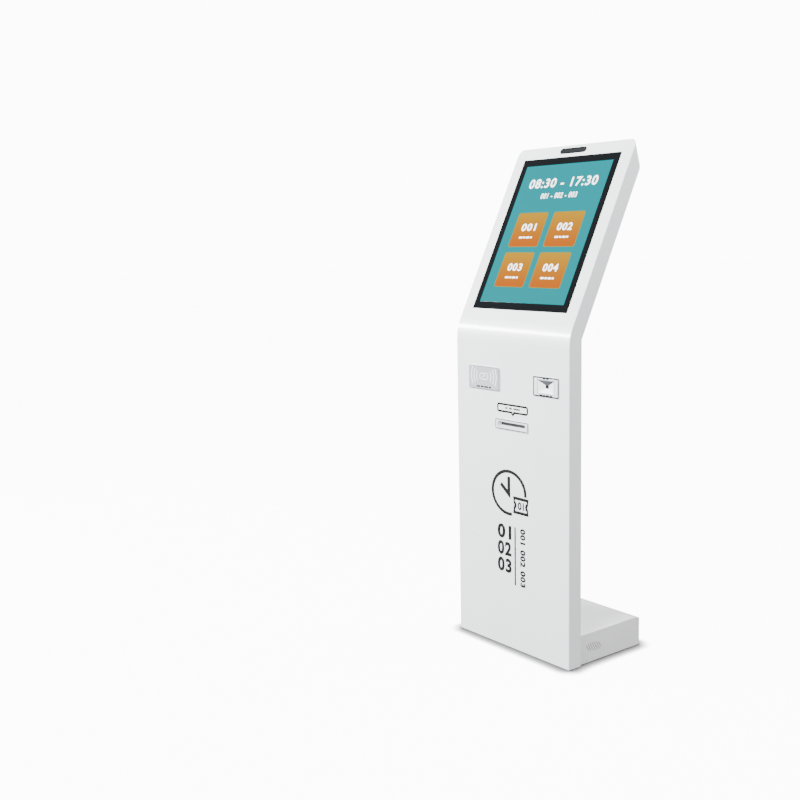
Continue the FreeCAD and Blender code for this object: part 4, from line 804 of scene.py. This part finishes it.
@dataclass
class Finishes:
    """Every finish of the kiosk, by material slot, and the inks and lit colours of its marks."""

    slots: dict[str, Finish] = field(default_factory=lambda: {
        # Powder-coated sheet: satin, with a faint orange peel. Real peel is about 1 mm, drawn at 3 mm.
        "white_shell": Finish("satin_powder_coat_shell", "e9edef", "edf0f2", 0.36, grain_mm=3.0,
                              relief=0.05, coat=0.4, coat_roughness=0.14),
        "white_cover": Finish("satin_powder_coat_covers", "e9ebeb", "edefef", 0.4, grain_mm=3.0,
                              relief=0.05),
        "base_paint": Finish("satin_powder_coat_base", "e4e6e5", "e9ebea", 0.4, grain_mm=3.0, relief=0.05),
        # Black powder coat on the thick floor plate: flatter and coarser than the white.
        "plate_steel": Finish("black_powder_coat_plate", "26282a", "2d2f31", 0.55, grain_mm=2.5,
                              relief=0.08),
        # Float glass printed black on its back: a deep gloss with no grain.
        "glass": Finish("back_printed_float_glass", "070a0c", "090c0f", 0.07, spread=0.01, grain_mm=40,
                        relief=0.002, ior=1.52),
        # Painted steel display case behind the glass.
        "display": Finish("black_display_case", "141516", "1a1b1c", 0.5, grain_mm=2.0, relief=0.02),
        # Zinc-plated sheet: cloudy spangles about 12 mm wide under a dull sheen.
        "zinc_steel": Finish("zinc_plated_sheet", "a9adb0", "babdbf", 0.38, spread=0.1, patch_mm=12,
                             grain_mm=1.5, relief=0.01, metallic=1.0),
        # Turned or ground steel: fine marks drawn out along the piece.
        "bright_steel": Finish("ground_steel", "b9bbbd", "c6c7c9", 0.26, spread=0.08, grain_mm=1.2,
                               relief=0.01, stretch=(1.0, 1.0, 0.15), metallic=1.0),
        # Polished and chrome-plated zinc: a near mirror with a slight haze.
        "chrome": Finish("chrome_plated_zinc", "cfd1d3", "d6d8da", 0.1, spread=0.04, grain_mm=4,
                         relief=0.004, metallic=1.0),
        # Moulded ABS and PBT: fine spark texture of about 0.4 mm, drawn at 1.5 mm.
        "grey_plastic": Finish("moulded_grey_abs", "8f949a", "979ca1", 0.42, grain_mm=1.5, relief=0.04),
        "pale_plastic": Finish("moulded_pale_abs", "d9dde2", "dfe3e7", 0.38, grain_mm=1.5, relief=0.03),
        "black_plastic": Finish("moulded_black_pbt", "191a1b", "202122", 0.5, grain_mm=1.5, relief=0.05),
        # Smoked acrylic: dark, clear gloss.
        "smoke_lens": Finish("smoked_acrylic", "141517", "18191b", 0.12, spread=0.02, grain_mm=20,
                             relief=0.002, ior=1.49),
        # Lacquered glass-fibre board: satin green with lighter copper tracks.
        "circuit_board": BoardFinish("lacquered_circuit_board", "0f4a2b", "1c6a3e", 0.3),
        # Moulded nylon: a milky, waxy satin.
        "white_nylon": Finish("moulded_white_nylon", "e3e2da", "e9e8e0", 0.45, grain_mm=1.0, relief=0.02),
        # Vulcanised rubber: matt, with a dusty bloom.
        "black_rubber": Finish("vulcanised_rubber", "1b1b1b", "2a2a29", 0.75, patch_mm=15, grain_mm=1.0,
                               relief=0.05),
        # Thermal paper: matt and slightly warm, with its turns showing at the ends.
        "thermal_paper": WoundPaper("wound_thermal_paper", "e9e8e2", "dcdbd4", 0.7, axis_y=FRONT_Y + 42.0,
                                    axis_z=490.0),
        # Anodised aluminium: even satin with marks drawn along the extrusion.
        "aluminium": Finish("anodised_aluminium", "a6a9ac", "b0b3b5", 0.34, spread=0.06, grain_mm=1.2,
                            relief=0.01, stretch=(1.0, 0.1, 1.0), metallic=1.0),
        # Turned brass: a warm satin with fine marks.
        "brass_pin": Finish("turned_brass", "c09a52", "cba763", 0.3, grain_mm=1.0, relief=0.01,
                            metallic=1.0),
    })
    inks: dict[str, Finish] = field(default_factory=lambda: {
        # Cut vinyl and screen-printed ink on powder coat: thin, dense and glossy.
        "black_ink": Finish("printed_black_ink", "050506", "080809", 0.1, spread=0.03, grain_mm=6,
                            relief=0.002),
        "grey_ink": Finish("printed_grey_ink", "1d1f21", "222426", 0.12, spread=0.03, grain_mm=6,
                           relief=0.002),
        # The pale ink is print, and also paints shade on the card pad's edge and the scanner funnel's top.
        "pale_ink_and_shade": Finish("printed_pale_ink_and_painted_shade", "4b4e52", "515458", 0.14, spread=0.03, grain_mm=6,
                           relief=0.002),
        # White screen-printed ink and the white insert of the scanner: an even satin.
        "white_ink": Finish("printed_white_ink", "f4f6f7", "fafbfb", 0.4, grain_mm=2, relief=0.01),
        # Printed polycarbonate film: cool grey, finely matted on its face.
        "pad_film": Finish("printed_polycarbonate_film", "a3a7ac", "a9adb2", 0.33, grain_mm=1.5,
                           relief=0.01, ior=1.58),
        # Lit colours of the display, seen through clear glass.
        "teal_light": LitFinish("lit_teal_field", "00ecf8", "00eefc", 0.1, glow=0.5),
        "amber_edge": LitFinish("lit_amber_edge", "d0cc30", "d8d23c", 0.1, glow=0.8),
        "white_light": LitFinish("lit_white_figures", "ffffff", "fcffff", 0.1, glow=4.5),
        # Aluminium plate, brushed along its length.
        "blank_plate": Finish("satin_blank_plate", "b4b6b8", "bcbec0", 0.3, grain_mm=1.0, relief=0.005,
                              stretch=(0.1, 1.0, 1.0), metallic=1.0),
    })

    def dress_nodes(self) -> Paints:
        """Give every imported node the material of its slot.

        Returns:
            The materials by slot.
        """
        made = {slot: finish.build() for slot, finish in self.slots.items()}
        for part in frame["record"]["subparts"]:
            node = frame["nodes"][part["node"]]
            node.data.materials.clear()
            node.data.materials.append(made[part["material_slot"]])
            log.info("%s wears %s", part["node"], part["material_slot"])
        return made

    def mix_inks(self) -> Paints:
        """Return the materials of inks and lit colours by name."""
        return {name: finish.build() for name, finish in self.inks.items()}


@dataclass
class ScreenPicture:
    """The lit picture on the touch glass: a teal field, a heading and four amber ticket tiles."""

    width: float = 302.0
    bottom: float = 79.5
    top: float = 470.5
    layer: float = 0.12
    heading: Figures = Figures(27.0, 0.9, 240.0)
    heading_middle: Point = (2.0, 417.0)
    second: Figures = Figures(16.0, 0.5, 127.0)
    second_middle: Point = (3.5, 380.0)
    tile_size: Point = (108.0, 98.0)
    tile_corner: float = 6.0
    tile_rim: float = 1.5
    tile_across: float = 64.0
    tile_rows: Point = (284.0, 171.0)
    amber: LitFinish = LitFinish("lit_amber", "ff7a0a", "ffc026", 0.1, glow=0.88, third="ff9f16")
    tile_figure: Figures = Figures(21.0, 0.8, 52.0)
    figure_rise: float = 7.0
    notice: Words = Words((13.0, 8.0, 12.0, 7.0), 5.0, 2.5)
    notice_drop: float = 22.0

    def row_centres(self, up: float) -> list[Point]:
        """Return the middle of both tiles of a row, left to right."""
        return [(side * self.tile_across, up) for side in (-1, 1)]

    def build(self, inks: Paints, tiles: NodeTree) -> None:
        """Build the field, the tiles and their figures.

        Args:
            inks: materials by name.
            tiles: the tree that sets rounded plates on points.
        """
        half = self.width / 2
        field_shape = [(-half, self.bottom), (half, self.bottom), (half, self.top), (-half, self.top)]
        teal = Piece("screen_field", Slot.DISPLAY, inks["teal_light"])
        teal.plate([field_shape], 0.0, self.layer, HEAD_FRONT)
        self.build_tiles(inks, tiles)
        head = Piece("screen_heading", Slot.DISPLAY, inks["white_light"])
        head.numbers("08:30 - 17:30", self.heading_middle, self.heading, self.layer, self.layer,
                     HEAD_FRONT)
        second = Piece("screen_second_line", Slot.DISPLAY, inks["white_light"])
        second.numbers("001 - 002 - 003", self.second_middle, self.second, self.layer, self.layer,
                       HEAD_FRONT)

    def build_tiles(self, inks: Paints, tiles: NodeTree) -> None:
        """Build the four tiles: an edge, a glowing face, a figure and a short line of marks.

        Args:
            inks: materials by name.
            tiles: the tree that sets rounded plates on points.
        """
        layer = self.layer
        width, height = self.tile_size
        sizes = {"Width": width * MM, "Height": height * MM, "Corner": self.tile_corner * MM,
                 "Thickness": layer * MM}
        smaller = dict(sizes, Width=(width - 2 * self.tile_rim) * MM,
                       Height=(height - 2 * self.tile_rim) * MM)
        centres = [centre for up in self.tile_rows for centre in self.row_centres(up)]
        edges = Piece("tile_edges", Slot.DISPLAY, inks["amber_edge"])
        edges.grown(tiles, sizes, centres, HEAD_FRONT, layer)
        for row, up in enumerate(self.tile_rows):
            low, high = ((BEND_Z + (up + side * height / 2) * COS) * MM for side in (-1, 1))
            amber = replace(self.amber, name=f"lit_amber_row_{row}", low_m=low, high_m=high)
            Piece(f"tile_faces_row_{row}", Slot.DISPLAY, amber.build()).grown(
                tiles, smaller, self.row_centres(up), HEAD_FRONT, 2 * layer)
        marks: list[Outline] = []
        for index, (across, up) in enumerate(centres):
            figure = Piece(f"tile_figure_{index}", Slot.DISPLAY, inks["white_light"])
            figure.numbers(f"00{index + 1}", (across, up + self.figure_rise), self.tile_figure, 3 * layer,
                           layer, HEAD_FRONT)
            marks += self.notice.bars((across, up - self.notice_drop))
        lines = Piece("tile_small_lines", Slot.DISPLAY, inks["white_light"])
        lines.plate(marks, 3 * layer, layer, HEAD_FRONT)


@dataclass
class SensorSurround:
    """Pale rim and inner window of the sensor above the screen."""

    middle: Point = (0.0, 508.0)
    window: Point = (86.8, 10.6)
    window_corner: float = 5.2
    window_proud: float = 0.6
    rim: Point = (94.4, 18.4)
    rim_corner: float = 9.1
    rim_line: float = 1.1
    rim_thickness: float = 0.4

    def build(self, inks: Paints) -> None:
        """Build the window's inner field and the thin line round it.

        Args:
            inks: materials by name.
        """
        window = [Box.about(self.middle, self.window).rounded(self.window_corner)]
        inner = Piece("sensor_inner_window", Slot.LENS, inks["grey_ink"])
        inner.plate(window, self.window_proud, INK, HEAD_FRONT)
        rim = Box.about(self.middle, self.rim).line(self.rim_corner, self.rim_line)
        outer = Piece("sensor_rim_line", Slot.SHELL, inks["white_ink"])
        outer.plate(rim, 0.0, self.rim_thickness, HEAD_FRONT)


@dataclass
class CardPadPrint:
    """Printed film on the card pad: waves each side of an oval icon, a line of marks, and a grey line of
    painted shade at its edge.
    """

    film: Box = Box((-153.3, 679.2), (-38.7, 738.8))
    film_corner: float = 4.0
    proud: float = 3.0
    # A grey line just inside the film's edge is painted shade of the pad's rounded edge.
    edge_shade_inset: float = 0.2
    edge_shade_line: float = 1.1
    middle: Point = (-96.0, 713.0)
    wave_radii: Triple = (29.0, 39.0, 49.0)
    wave_line: float = 2.6
    wave_reach: float = 28.0
    icon: Point = (34.0, 18.0)
    icon_corner: float = 8.9
    icon_line: float = 2.0
    tick: tuple[Point, ...] = ((-6.0, -3.0), (2.0, 3.0), (6.0, -1.0))
    tick_line: float = 1.8
    notice: Words = Words((14.0, 10.0, 16.0, 9.0), 4.0, 2.4)
    notice_up: float = 685.5

    def build(self, inks: Paints) -> None:
        """Build the film, the grey line of painted shade round its edge, the waves, the icon and the marks.

        Args:
            inks: materials by name.
        """
        film = [self.film.rounded(self.film_corner)]
        Piece("card_pad_film", Slot.PAD, inks["pad_film"]).plate(film, self.proud)
        above = self.proud + INK
        edge = self.film.inset(self.edge_shade_inset).line(self.film_corner - self.edge_shade_inset, self.edge_shade_line)
        # Painted shade round the pad's edge, in the pale ink.
        Piece("card_pad_edge_shade", Slot.PAD, inks["pale_ink_and_shade"]).plate(edge, above)
        shapes: list[Outline] = []
        for radius in self.wave_radii:
            for facing in (0.0, 180.0):
                start, end = facing - self.wave_reach, facing + self.wave_reach
                shapes.append(band(self.middle, radius, self.wave_line, start, end))
        shapes += Box.about(self.middle, self.icon).line(self.icon_corner, self.icon_line)
        across, up = self.middle
        shapes.append(stroke([(across + side, up + rise) for side, rise in self.tick], self.tick_line))
        Piece("card_pad_waves", Slot.PAD, inks["white_ink"]).plate(shapes, above)
        notice = self.notice.bars((across, self.notice_up))
        Piece("card_pad_line", Slot.PAD, inks["grey_ink"]).plate(notice, above)


@dataclass
class ScannerPrint:
    """White funnel insert with its top facet painted grey as shade, dark window, outline and marks of the
    code scanner.
    """

    centre: Point = (127.0, 705.0)
    proud: float = 1.5
    outline: Point = (87.2, 49.2)
    outline_corner: float = 3.6
    outline_line: float = 3.2
    mouth: Point = (58.8, 34.8)
    mouth_corner: float = 1.2
    mouth_line: float = 1.0
    rim_half: Point = (27.7, 15.7)
    rim_proud: float = 1.3
    throat_half: Point = (5.5, 4.0)
    throat_proud: float = -4.0
    facet: float = 0.5
    window: Point = (10.8, 7.8)
    window_corner: float = 1.0
    window_thickness: float = 0.4
    low_notice: Words = Words((10.0, 7.0, 12.0, 8.0), 2.8, 2.0)
    high_notice: Words = Words((9.0, 9.0), 2.6, 2.0)
    notice_away: float = 20.3

    def corners(self, half: Point, proud: float) -> list[Vector]:
        """Return the corners of a ring of the funnel, from top left round by the bottom to top right.

        Args:
            half: half the ring's width and height.
            proud: how far it stands in front of the column.

        Returns:
            The four corners, with that distance as z.
        """
        across, up = self.centre
        signs = ((-1, 1), (-1, -1), (1, -1), (1, 1))
        return [Vector((across + side * half[0], up + rise * half[1], proud)) for side, rise in signs]

    def build_funnel(self, white: Material, shade: Material, dark: Material) -> None:
        """Build the insert's white sides, its top painted darker as shade and the window at its floor.

        Args:
            white: material of the sides.
            shade: material of the top, a grey ink that paints its shade.
            dark: material of the window.
        """
        outer = self.corners(self.rim_half, self.rim_proud)
        inner = self.corners(self.throat_half, self.throat_proud)
        sides = facets(outer, inner, self.facet)
        Piece("scanner_sides", Slot.PAD, white).place(sides, COLUMN_FRONT.matrix())
        # The top facet faces down; its grey ink is painted shade.
        top = facets([outer[3], outer[0]], [inner[3], inner[0]], self.facet)
        Piece("scanner_top_painted_shade", Slot.PAD, shade).place(top, COLUMN_FRONT.matrix())
        window = [Box.about(self.centre, self.window).rounded(self.window_corner)]
        under = self.throat_proud - self.window_thickness
        Piece("scanner_window", Slot.LENS, dark).plate(window, under, self.window_thickness)

    def build(self, inks: Paints, dark: Material) -> None:
        """Build the insert, the frame line, the mouth's line and two lines of marks.

        Args:
            inks: materials by name.
            dark: material of the window.
        """
        # The pale ink on the funnel's top facet is painted shade.
        self.build_funnel(inks["white_ink"], inks["pale_ink_and_shade"], dark)
        outline = Box.about(self.centre, self.outline).line(self.outline_corner, self.outline_line)
        Piece("scanner_outline", Slot.PAD, inks["grey_ink"]).plate(outline, self.proud)
        mouth = Box.about(self.centre, self.mouth).line(self.mouth_corner, self.mouth_line)
        Piece("scanner_mouth_line", Slot.PAD, inks["pale_ink_and_shade"]).plate(mouth, self.proud)
        across, up = self.centre
        marks = self.low_notice.bars((across, up - self.notice_away))
        marks += self.high_notice.bars((across, up + self.notice_away))
        Piece("scanner_line", Slot.PAD, inks["grey_ink"]).plate(marks, self.proud)


@dataclass
class TicketMouthPrint:
    """Speech-bubble label above the ticket mouth, the mouth's outline, and a black sheet of painted shade
    in the slot.
    """

    label: Box = Box((-49.0, 626.0), (64.0, 649.5))
    corner: float = 7.0
    line: float = 5.0
    tip: Point = (9.0, 618.5)
    tip_half: float = 7.5
    tip_slope: float = 1.4
    notice: Words = Words((9.0, 11.0, 24.0), 4.5, 5.0)
    notice_middle: Point = (8.0, 638.0)
    slot: Point = (5.0, 595.0)
    mouth: Point = (118.8, 25.8)
    mouth_corner: float = 3.6
    mouth_line: float = 2.2
    mouth_proud: float = 2.0
    # A black sheet with a slit, at the back of the recess, is painted shade inside the slot.
    shade_sheet: Point = (90.4, 6.8)
    shade_sheet_corner: float = 0.6
    shade_sheet_gap: Point = (84.2, 1.2)
    gap_corner: float = 0.3
    shade_sheet_thickness: float = 0.4
    recess_depth: float = 7.0

    def bubble(self, inset: float) -> Outline:
        """Return the label's outline, moved in by a line's width.

        Args:
            inset: how far the outline is moved in.

        Returns:
            The closed outline, with its pointer before the last rounded corner.
        """
        box = self.label.inset(inset)
        points = box.rounded(self.corner - inset)
        half = self.tip_half - inset
        last_corner = len(points) - CORNER_STEPS - 1
        pointer = [(self.tip[0] - half, box.low[1]), (self.tip[0], self.tip[1] + inset * self.tip_slope),
                   (self.tip[0] + half, box.low[1])]
        return points[:last_corner] + pointer + points[last_corner:]

    def build(self, inks: Paints, black: Material) -> None:
        """Build the label's line, its marks, the mouth's outline and the black sheet of painted shade in
        the slot.

        Args:
            inks: materials by name.
            black: material of the black sheet that paints the slot's shade.
        """
        label = [self.bubble(0.0), self.bubble(self.line)]
        Piece("mouth_label", Slot.SHELL, inks["black_ink"]).plate(label)
        Piece("mouth_label_marks", Slot.SHELL, inks["pale_ink_and_shade"]).plate(self.notice.bars(self.notice_middle))
        ring = Box.about(self.slot, self.mouth).line(self.mouth_corner, self.mouth_line)
        Piece("mouth_outline", Slot.PAD, inks["pale_ink_and_shade"]).plate(ring, self.mouth_proud)
        # The black sheet stands in for the shade inside the slot.
        shade_sheet = [Box.about(self.slot, self.shade_sheet).rounded(self.shade_sheet_corner),
                 Box.about(self.slot, self.shade_sheet_gap).rounded(self.gap_corner)]
        Piece("slot_painted_shade", Slot.BLACK, black).plate(shade_sheet, -self.recess_depth, self.shade_sheet_thickness)


@dataclass
class ColumnSign:
    """Printed sign on the column: a dial with hands, a ticket, figures in a column and a thin line."""

    dial: Point = (-7.5, 418.0)
    dial_radius: float = 65.5
    dial_line: float = 9.5
    dial_start: float = -3.0
    dial_end: float = 281.0
    dial_squash: float = 0.92
    hands: tuple[Point, ...] = ((0.0, 42.0), (0.0, -4.0), (-30.0, 20.0))
    hand_line: float = 11.0
    ticket_box: Box = Box((8.0, 367.0), (65.0, 412.0))
    ticket_line: float = 8.0
    notch: float = 5.0
    notch_reach: float = 60.0
    notch_steps: int = 8
    ticket_figure: Figures = Figures(21.0, 1.2)
    figure: Figures = Figures(38.0, 2.4, 52.0)
    figures_across: float = -25.0
    figures_up: Triple = (312.0, 267.0, 222.0)
    line: Box = Box((12.4, 176.0), (17.6, 331.0))
    line_corner: float = 0.5
    row: Figures = Figures(19.0, 1.5, 155.0, -90.0)
    row_across: float = 43.0

    def ticket(self, inset: float) -> Outline:
        """Return the ticket's outline with a notch in each side, moved in by a line's width.

        Args:
            inset: how far the outline is moved in.

        Returns:
            The closed outline.
        """
        box = self.ticket_box.inset(inset)
        middle = box.middle[1]
        radius, reach = self.notch + inset, self.notch_reach
        left = arc((box.low[0] - inset, middle), radius, reach, -reach, self.notch_steps)
        right = arc((box.high[0] + inset, middle), radius, 180 + reach, 180 - reach, self.notch_steps)
        return [box.low, (box.high[0], box.low[1]), *right, box.high, (box.low[0], box.high[1]), *left]

    def build(self, inks: Paints) -> None:
        """Build the whole sign.

        Args:
            inks: materials by name.
        """
        across, up = self.dial
        ring = band(self.dial, self.dial_radius, self.dial_line, self.dial_start, self.dial_end,
                    self.dial_squash)
        hands = stroke([(across + side, up + rise) for side, rise in self.hands], self.hand_line)
        black = inks["black_ink"]
        Piece("sign_dial", Slot.SHELL, black).plate([ring, hands])
        Piece("sign_ticket", Slot.SHELL, black).plate([self.ticket(0.0), self.ticket(self.ticket_line)])
        figure = Piece("sign_ticket_figure", Slot.SHELL, black)
        figure.numbers("01", self.ticket_box.middle, self.ticket_figure)
        for index, height in enumerate(self.figures_up):
            figure = Piece(f"sign_figure_{index}", Slot.SHELL, black)
            figure.numbers(f"0{index + 1}", (self.figures_across, height), self.figure)
        Piece("sign_line", Slot.SHELL, inks["grey_ink"]).plate([self.line.rounded(self.line_corner)])
        row = Piece("sign_row", Slot.SHELL, black)
        row.numbers("001 002 003", (self.row_across, self.line.middle[1]), self.row)


@dataclass
class CoverScrewCrowns:
    """Crowns with six-sided sockets on the screws of both back covers."""

    radius: float = 3.2
    socket: float = 1.7
    crown: float = 0.6
    head_proud: float = 1.4
    head_radius: float = 3.5
    slope_rows: Point = (22.27, 468.8)

    def build(self, steel: Material, sockets: NodeTree) -> None:
        """Build the crowns on the column's cover and on the head's cover.

        Args:
            steel: material of the screws.
            sockets: the tree that sets a crown on every point.
        """
        sizes = {"Radius": self.radius * MM, "Socket": self.socket * MM, "Thickness": self.crown * MM}
        low, high = (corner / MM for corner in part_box("column_cover_screws"))
        column = Box((-high.x, low.z), (high.x, high.z)).inset(self.head_radius)
        head = Box((column.low[0], self.slope_rows[0]), (column.high[0], self.slope_rows[1]))
        Piece("column_screw_crowns", Slot.STEEL, steel).grown(
            sockets, sizes, column.corners(), COLUMN_BACK, self.head_proud)
        Piece("head_screw_crowns", Slot.STEEL, steel).grown(
            sockets, sizes, head.corners(), HEAD_BACK, self.head_proud)


@dataclass
class RearFittings:
    """Blank plate with rivets on the back of the base, and the marks of the power switch."""

    plate_box: Box = Box((-135.0, 24.0), (-65.0, 58.0))
    plate_corner: float = 2.0
    plate_thickness: float = 0.5
    rivet_radius: float = 1.8
    rivet_crown: float = 0.6
    rivet_inset: float = 4.0
    on_mark: Box = Box((55.5, 40.6), (56.5, 43.6))
    on_corner: float = 0.3
    off_mark: Point = (56.0, 33.9)
    off_radii: Point = (1.6, 0.9)
    off_end: float = 345.0
    mark_proud: float = 1.9
    mark_thickness: float = 0.8

    def build(self, plate: Material, ink: Material, tiles: NodeTree) -> None:
        """Build the plate, its rivets and the two marks on the rocker.

        Args:
            plate: material of the blank plate.
            ink: material of the marks.
            tiles: the tree that sets rounded plates on points.
        """
        blank = Piece("blank_plate", Slot.ALUMINIUM, plate)
        blank.plate([self.plate_box.rounded(self.plate_corner)], 0.0, self.plate_thickness, BASE_REAR)
        width = 2 * self.rivet_radius * MM
        sizes = {"Width": width, "Height": width, "Corner": self.rivet_radius * MM,
                 "Thickness": self.rivet_crown * MM}
        places = self.plate_box.inset(self.rivet_inset).corners()
        Piece("blank_plate_rivets", Slot.ALUMINIUM, plate).grown(
            tiles, sizes, places, BASE_REAR, self.plate_thickness)
        dash = [self.on_mark.rounded(self.on_corner)]
        ring = [arc(self.off_mark, radius, 0.0, self.off_end) for radius in self.off_radii]
        for name, shapes in (("rocker_on_mark", dash), ("rocker_off_mark", ring)):
            mark = Piece(name, Slot.BLACK, ink, Body.ROCKER)
            mark.plate(shapes, self.mark_proud, self.mark_thickness, BASE_REAR)


@dataclass(frozen=True)
class Light:
    """A soft rectangular light: its power in watts, its width and height, and where it stands."""

    name: str
    power: float
    size_m: Point
    at_m: Triple


@dataclass
class Studio:
    """Pale floor, soft lights and the camera at the photograph's viewing angle."""

    camera_m: Triple = (2.0143, -2.0396, 1.0787)
    yaw: float = -52.464
    pitch: float = -8.514
    roll: float = 1.214
    lens: float = 49.40
    sensor_width: float = 36.0
    sight_m: float = 200.0
    floor_m: float = 60.0
    floor_colour: str = "707070"
    floor_glow: float = 11.6
    floor_shade_m: float = 0.035
    floor_shade_depth: float = 9.0
    sky_seen: float = 12.0
    sky_light: float = 0.24
    aim_m: Triple = (0.0, -0.139, 0.8)
    lights: tuple[Light, ...] = (
        Light("key_light", 655.0, (2.5, 2.5), (0.3, -3.9, 4.0)),
        Light("bend_strip_light", 460.0, (1.5, 0.35), (-2.9, -2.6, 1.95)),
        Light("side_light", 88.0, (2.0, 2.0), (3.4, 0.3, 2.6)),
        Light("top_light", 210.0, (1.5, 1.5), (0.8, 1.2, 3.2)),
    )

    def build_camera(self) -> None:
        """Make the camera and hand it to the scene."""
        yaw, pitch, roll = (math.radians(angle) for angle in (self.yaw, self.pitch, self.roll))
        ahead = Vector((math.sin(yaw) * math.cos(pitch), math.cos(yaw) * math.cos(pitch), math.sin(pitch)))
        right = Vector((math.cos(yaw), -math.sin(yaw), 0.0))
        down = ahead.cross(right)
        turned_right = right * math.cos(roll) + down * math.sin(roll)
        turned_down = down * math.cos(roll) - right * math.sin(roll)
        data = bpy.data.cameras.new("photo_camera")
        data.lens = self.lens
        data.sensor_width = self.sensor_width
        data.clip_end = self.sight_m
        camera = stand("photo_camera", data)
        turn = Matrix((turned_right, -turned_down, -ahead)).transposed().to_4x4()
        camera.matrix_world = Matrix.Translation(Vector(self.camera_m)) @ turn
        bpy.context.scene.camera = camera

    def floor_material(self) -> Material:
        """Make white paper that the camera sees as bright as the sky, with a soft shade by the kiosk.

        Returns:
            The material.
        """
        material = bpy.data.materials.new("studio_floor")
        tree = bare_tree(material)
        paper = add_node(tree, "ShaderNodeBsdfDiffuse", {"Color": linear(self.floor_colour)})
        shade = add_node(tree, "ShaderNodeAmbientOcclusion", {"Distance": self.floor_shade_m})
        deep = add_node(tree, "ShaderNodeMath", {"operation": "POWER", 1: self.floor_shade_depth},
                        {0: shade.outputs["AO"]})
        level = add_node(tree, "ShaderNodeMath", {"operation": "MULTIPLY", 1: self.floor_glow},
                         {0: deep.outputs["Value"]})
        glow = add_node(tree, "ShaderNodeEmission", links={"Strength": level.outputs["Value"]})
        ray = add_node(tree, "ShaderNodeLightPath")
        seen = add_node(tree, "ShaderNodeMixShader",
                        links={0: ray.outputs["Is Camera Ray"], 2: glow.outputs["Emission"]})
        both = add_node(tree, "ShaderNodeAddShader",
                        links={0: paper.outputs["BSDF"], 1: seen.outputs["Shader"]})
        add_node(tree, "ShaderNodeOutputMaterial", links={"Surface": both.outputs["Shader"]})
        return material

    def build_floor(self) -> None:
        """Make the floor, which isn't part of the kiosk."""
        half = self.floor_m / 2
        corners = [(-half, -half, 0), (half, -half, 0), (half, half, 0), (-half, half, 0)]
        mesh = bpy.data.meshes.new("floor")
        mesh.from_pydata(corners, [], [(0, 1, 2, 3)])
        mesh.materials.append(self.floor_material())
        floor = stand("floor", mesh)

    def add_light(self, light: Light) -> None:
        """Add one soft light that faces the kiosk.

        Args:
            light: its power, size and place.
        """
        data = bpy.data.lights.new(light.name, "AREA")
        data.shape = "RECTANGLE"
        data.energy = light.power
        data.size, data.size_y = light.size_m
        lamp = stand(light.name, data)
        lamp.location = light.at_m
        aim = Vector(self.aim_m) - Vector(light.at_m)
        lamp.rotation_euler = aim.to_track_quat("-Z", "Y").to_euler()

    def build_sky(self) -> None:
        """Make an even sky that is bright behind the kiosk and dim as a light."""
        sky = bpy.data.worlds.new("studio_sky")
        tree = bare_tree(sky)
        white = linear("ffffff")
        dim = add_node(tree, "ShaderNodeBackground", {"Color": white, "Strength": self.sky_light})
        bright = add_node(tree, "ShaderNodeBackground", {"Color": white, "Strength": self.sky_seen})
        ray = add_node(tree, "ShaderNodeLightPath")
        both = add_node(tree, "ShaderNodeMixShader", links={
            0: ray.outputs["Is Camera Ray"], 1: dim.outputs["Background"], 2: bright.outputs["Background"],
        })
        add_node(tree, "ShaderNodeOutputWorld", links={"Surface": both.outputs["Shader"]})
        bpy.context.scene.world = sky

    def build(self) -> None:
        """Build the whole studio."""
        self.build_camera()
        self.build_floor()
        self.build_sky()
        for light in self.lights:
            self.add_light(light)


def main() -> None:
    """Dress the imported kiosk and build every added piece."""
    logging.basicConfig(level=logging.INFO, format="%(name)s: %(message)s")
    finishes = Finishes()
    worn = finishes.dress_nodes()
    inks = finishes.mix_inks()
    tiles = Growth.tiles()
    Studio().build()
    ScreenPicture().build(inks, tiles)
    SensorSurround().build(inks)
    CardPadPrint().build(inks)
    ScannerPrint().build(inks, worn["smoke_lens"])
    TicketMouthPrint().build(inks, worn["black_plastic"])
    ColumnSign().build(inks)
    CoverScrewCrowns().build(worn["bright_steel"], Growth.sockets())
    RearFittings().build(inks["blank_plate"], inks["white_ink"], tiles)


if __name__ == "__main__":
    main()
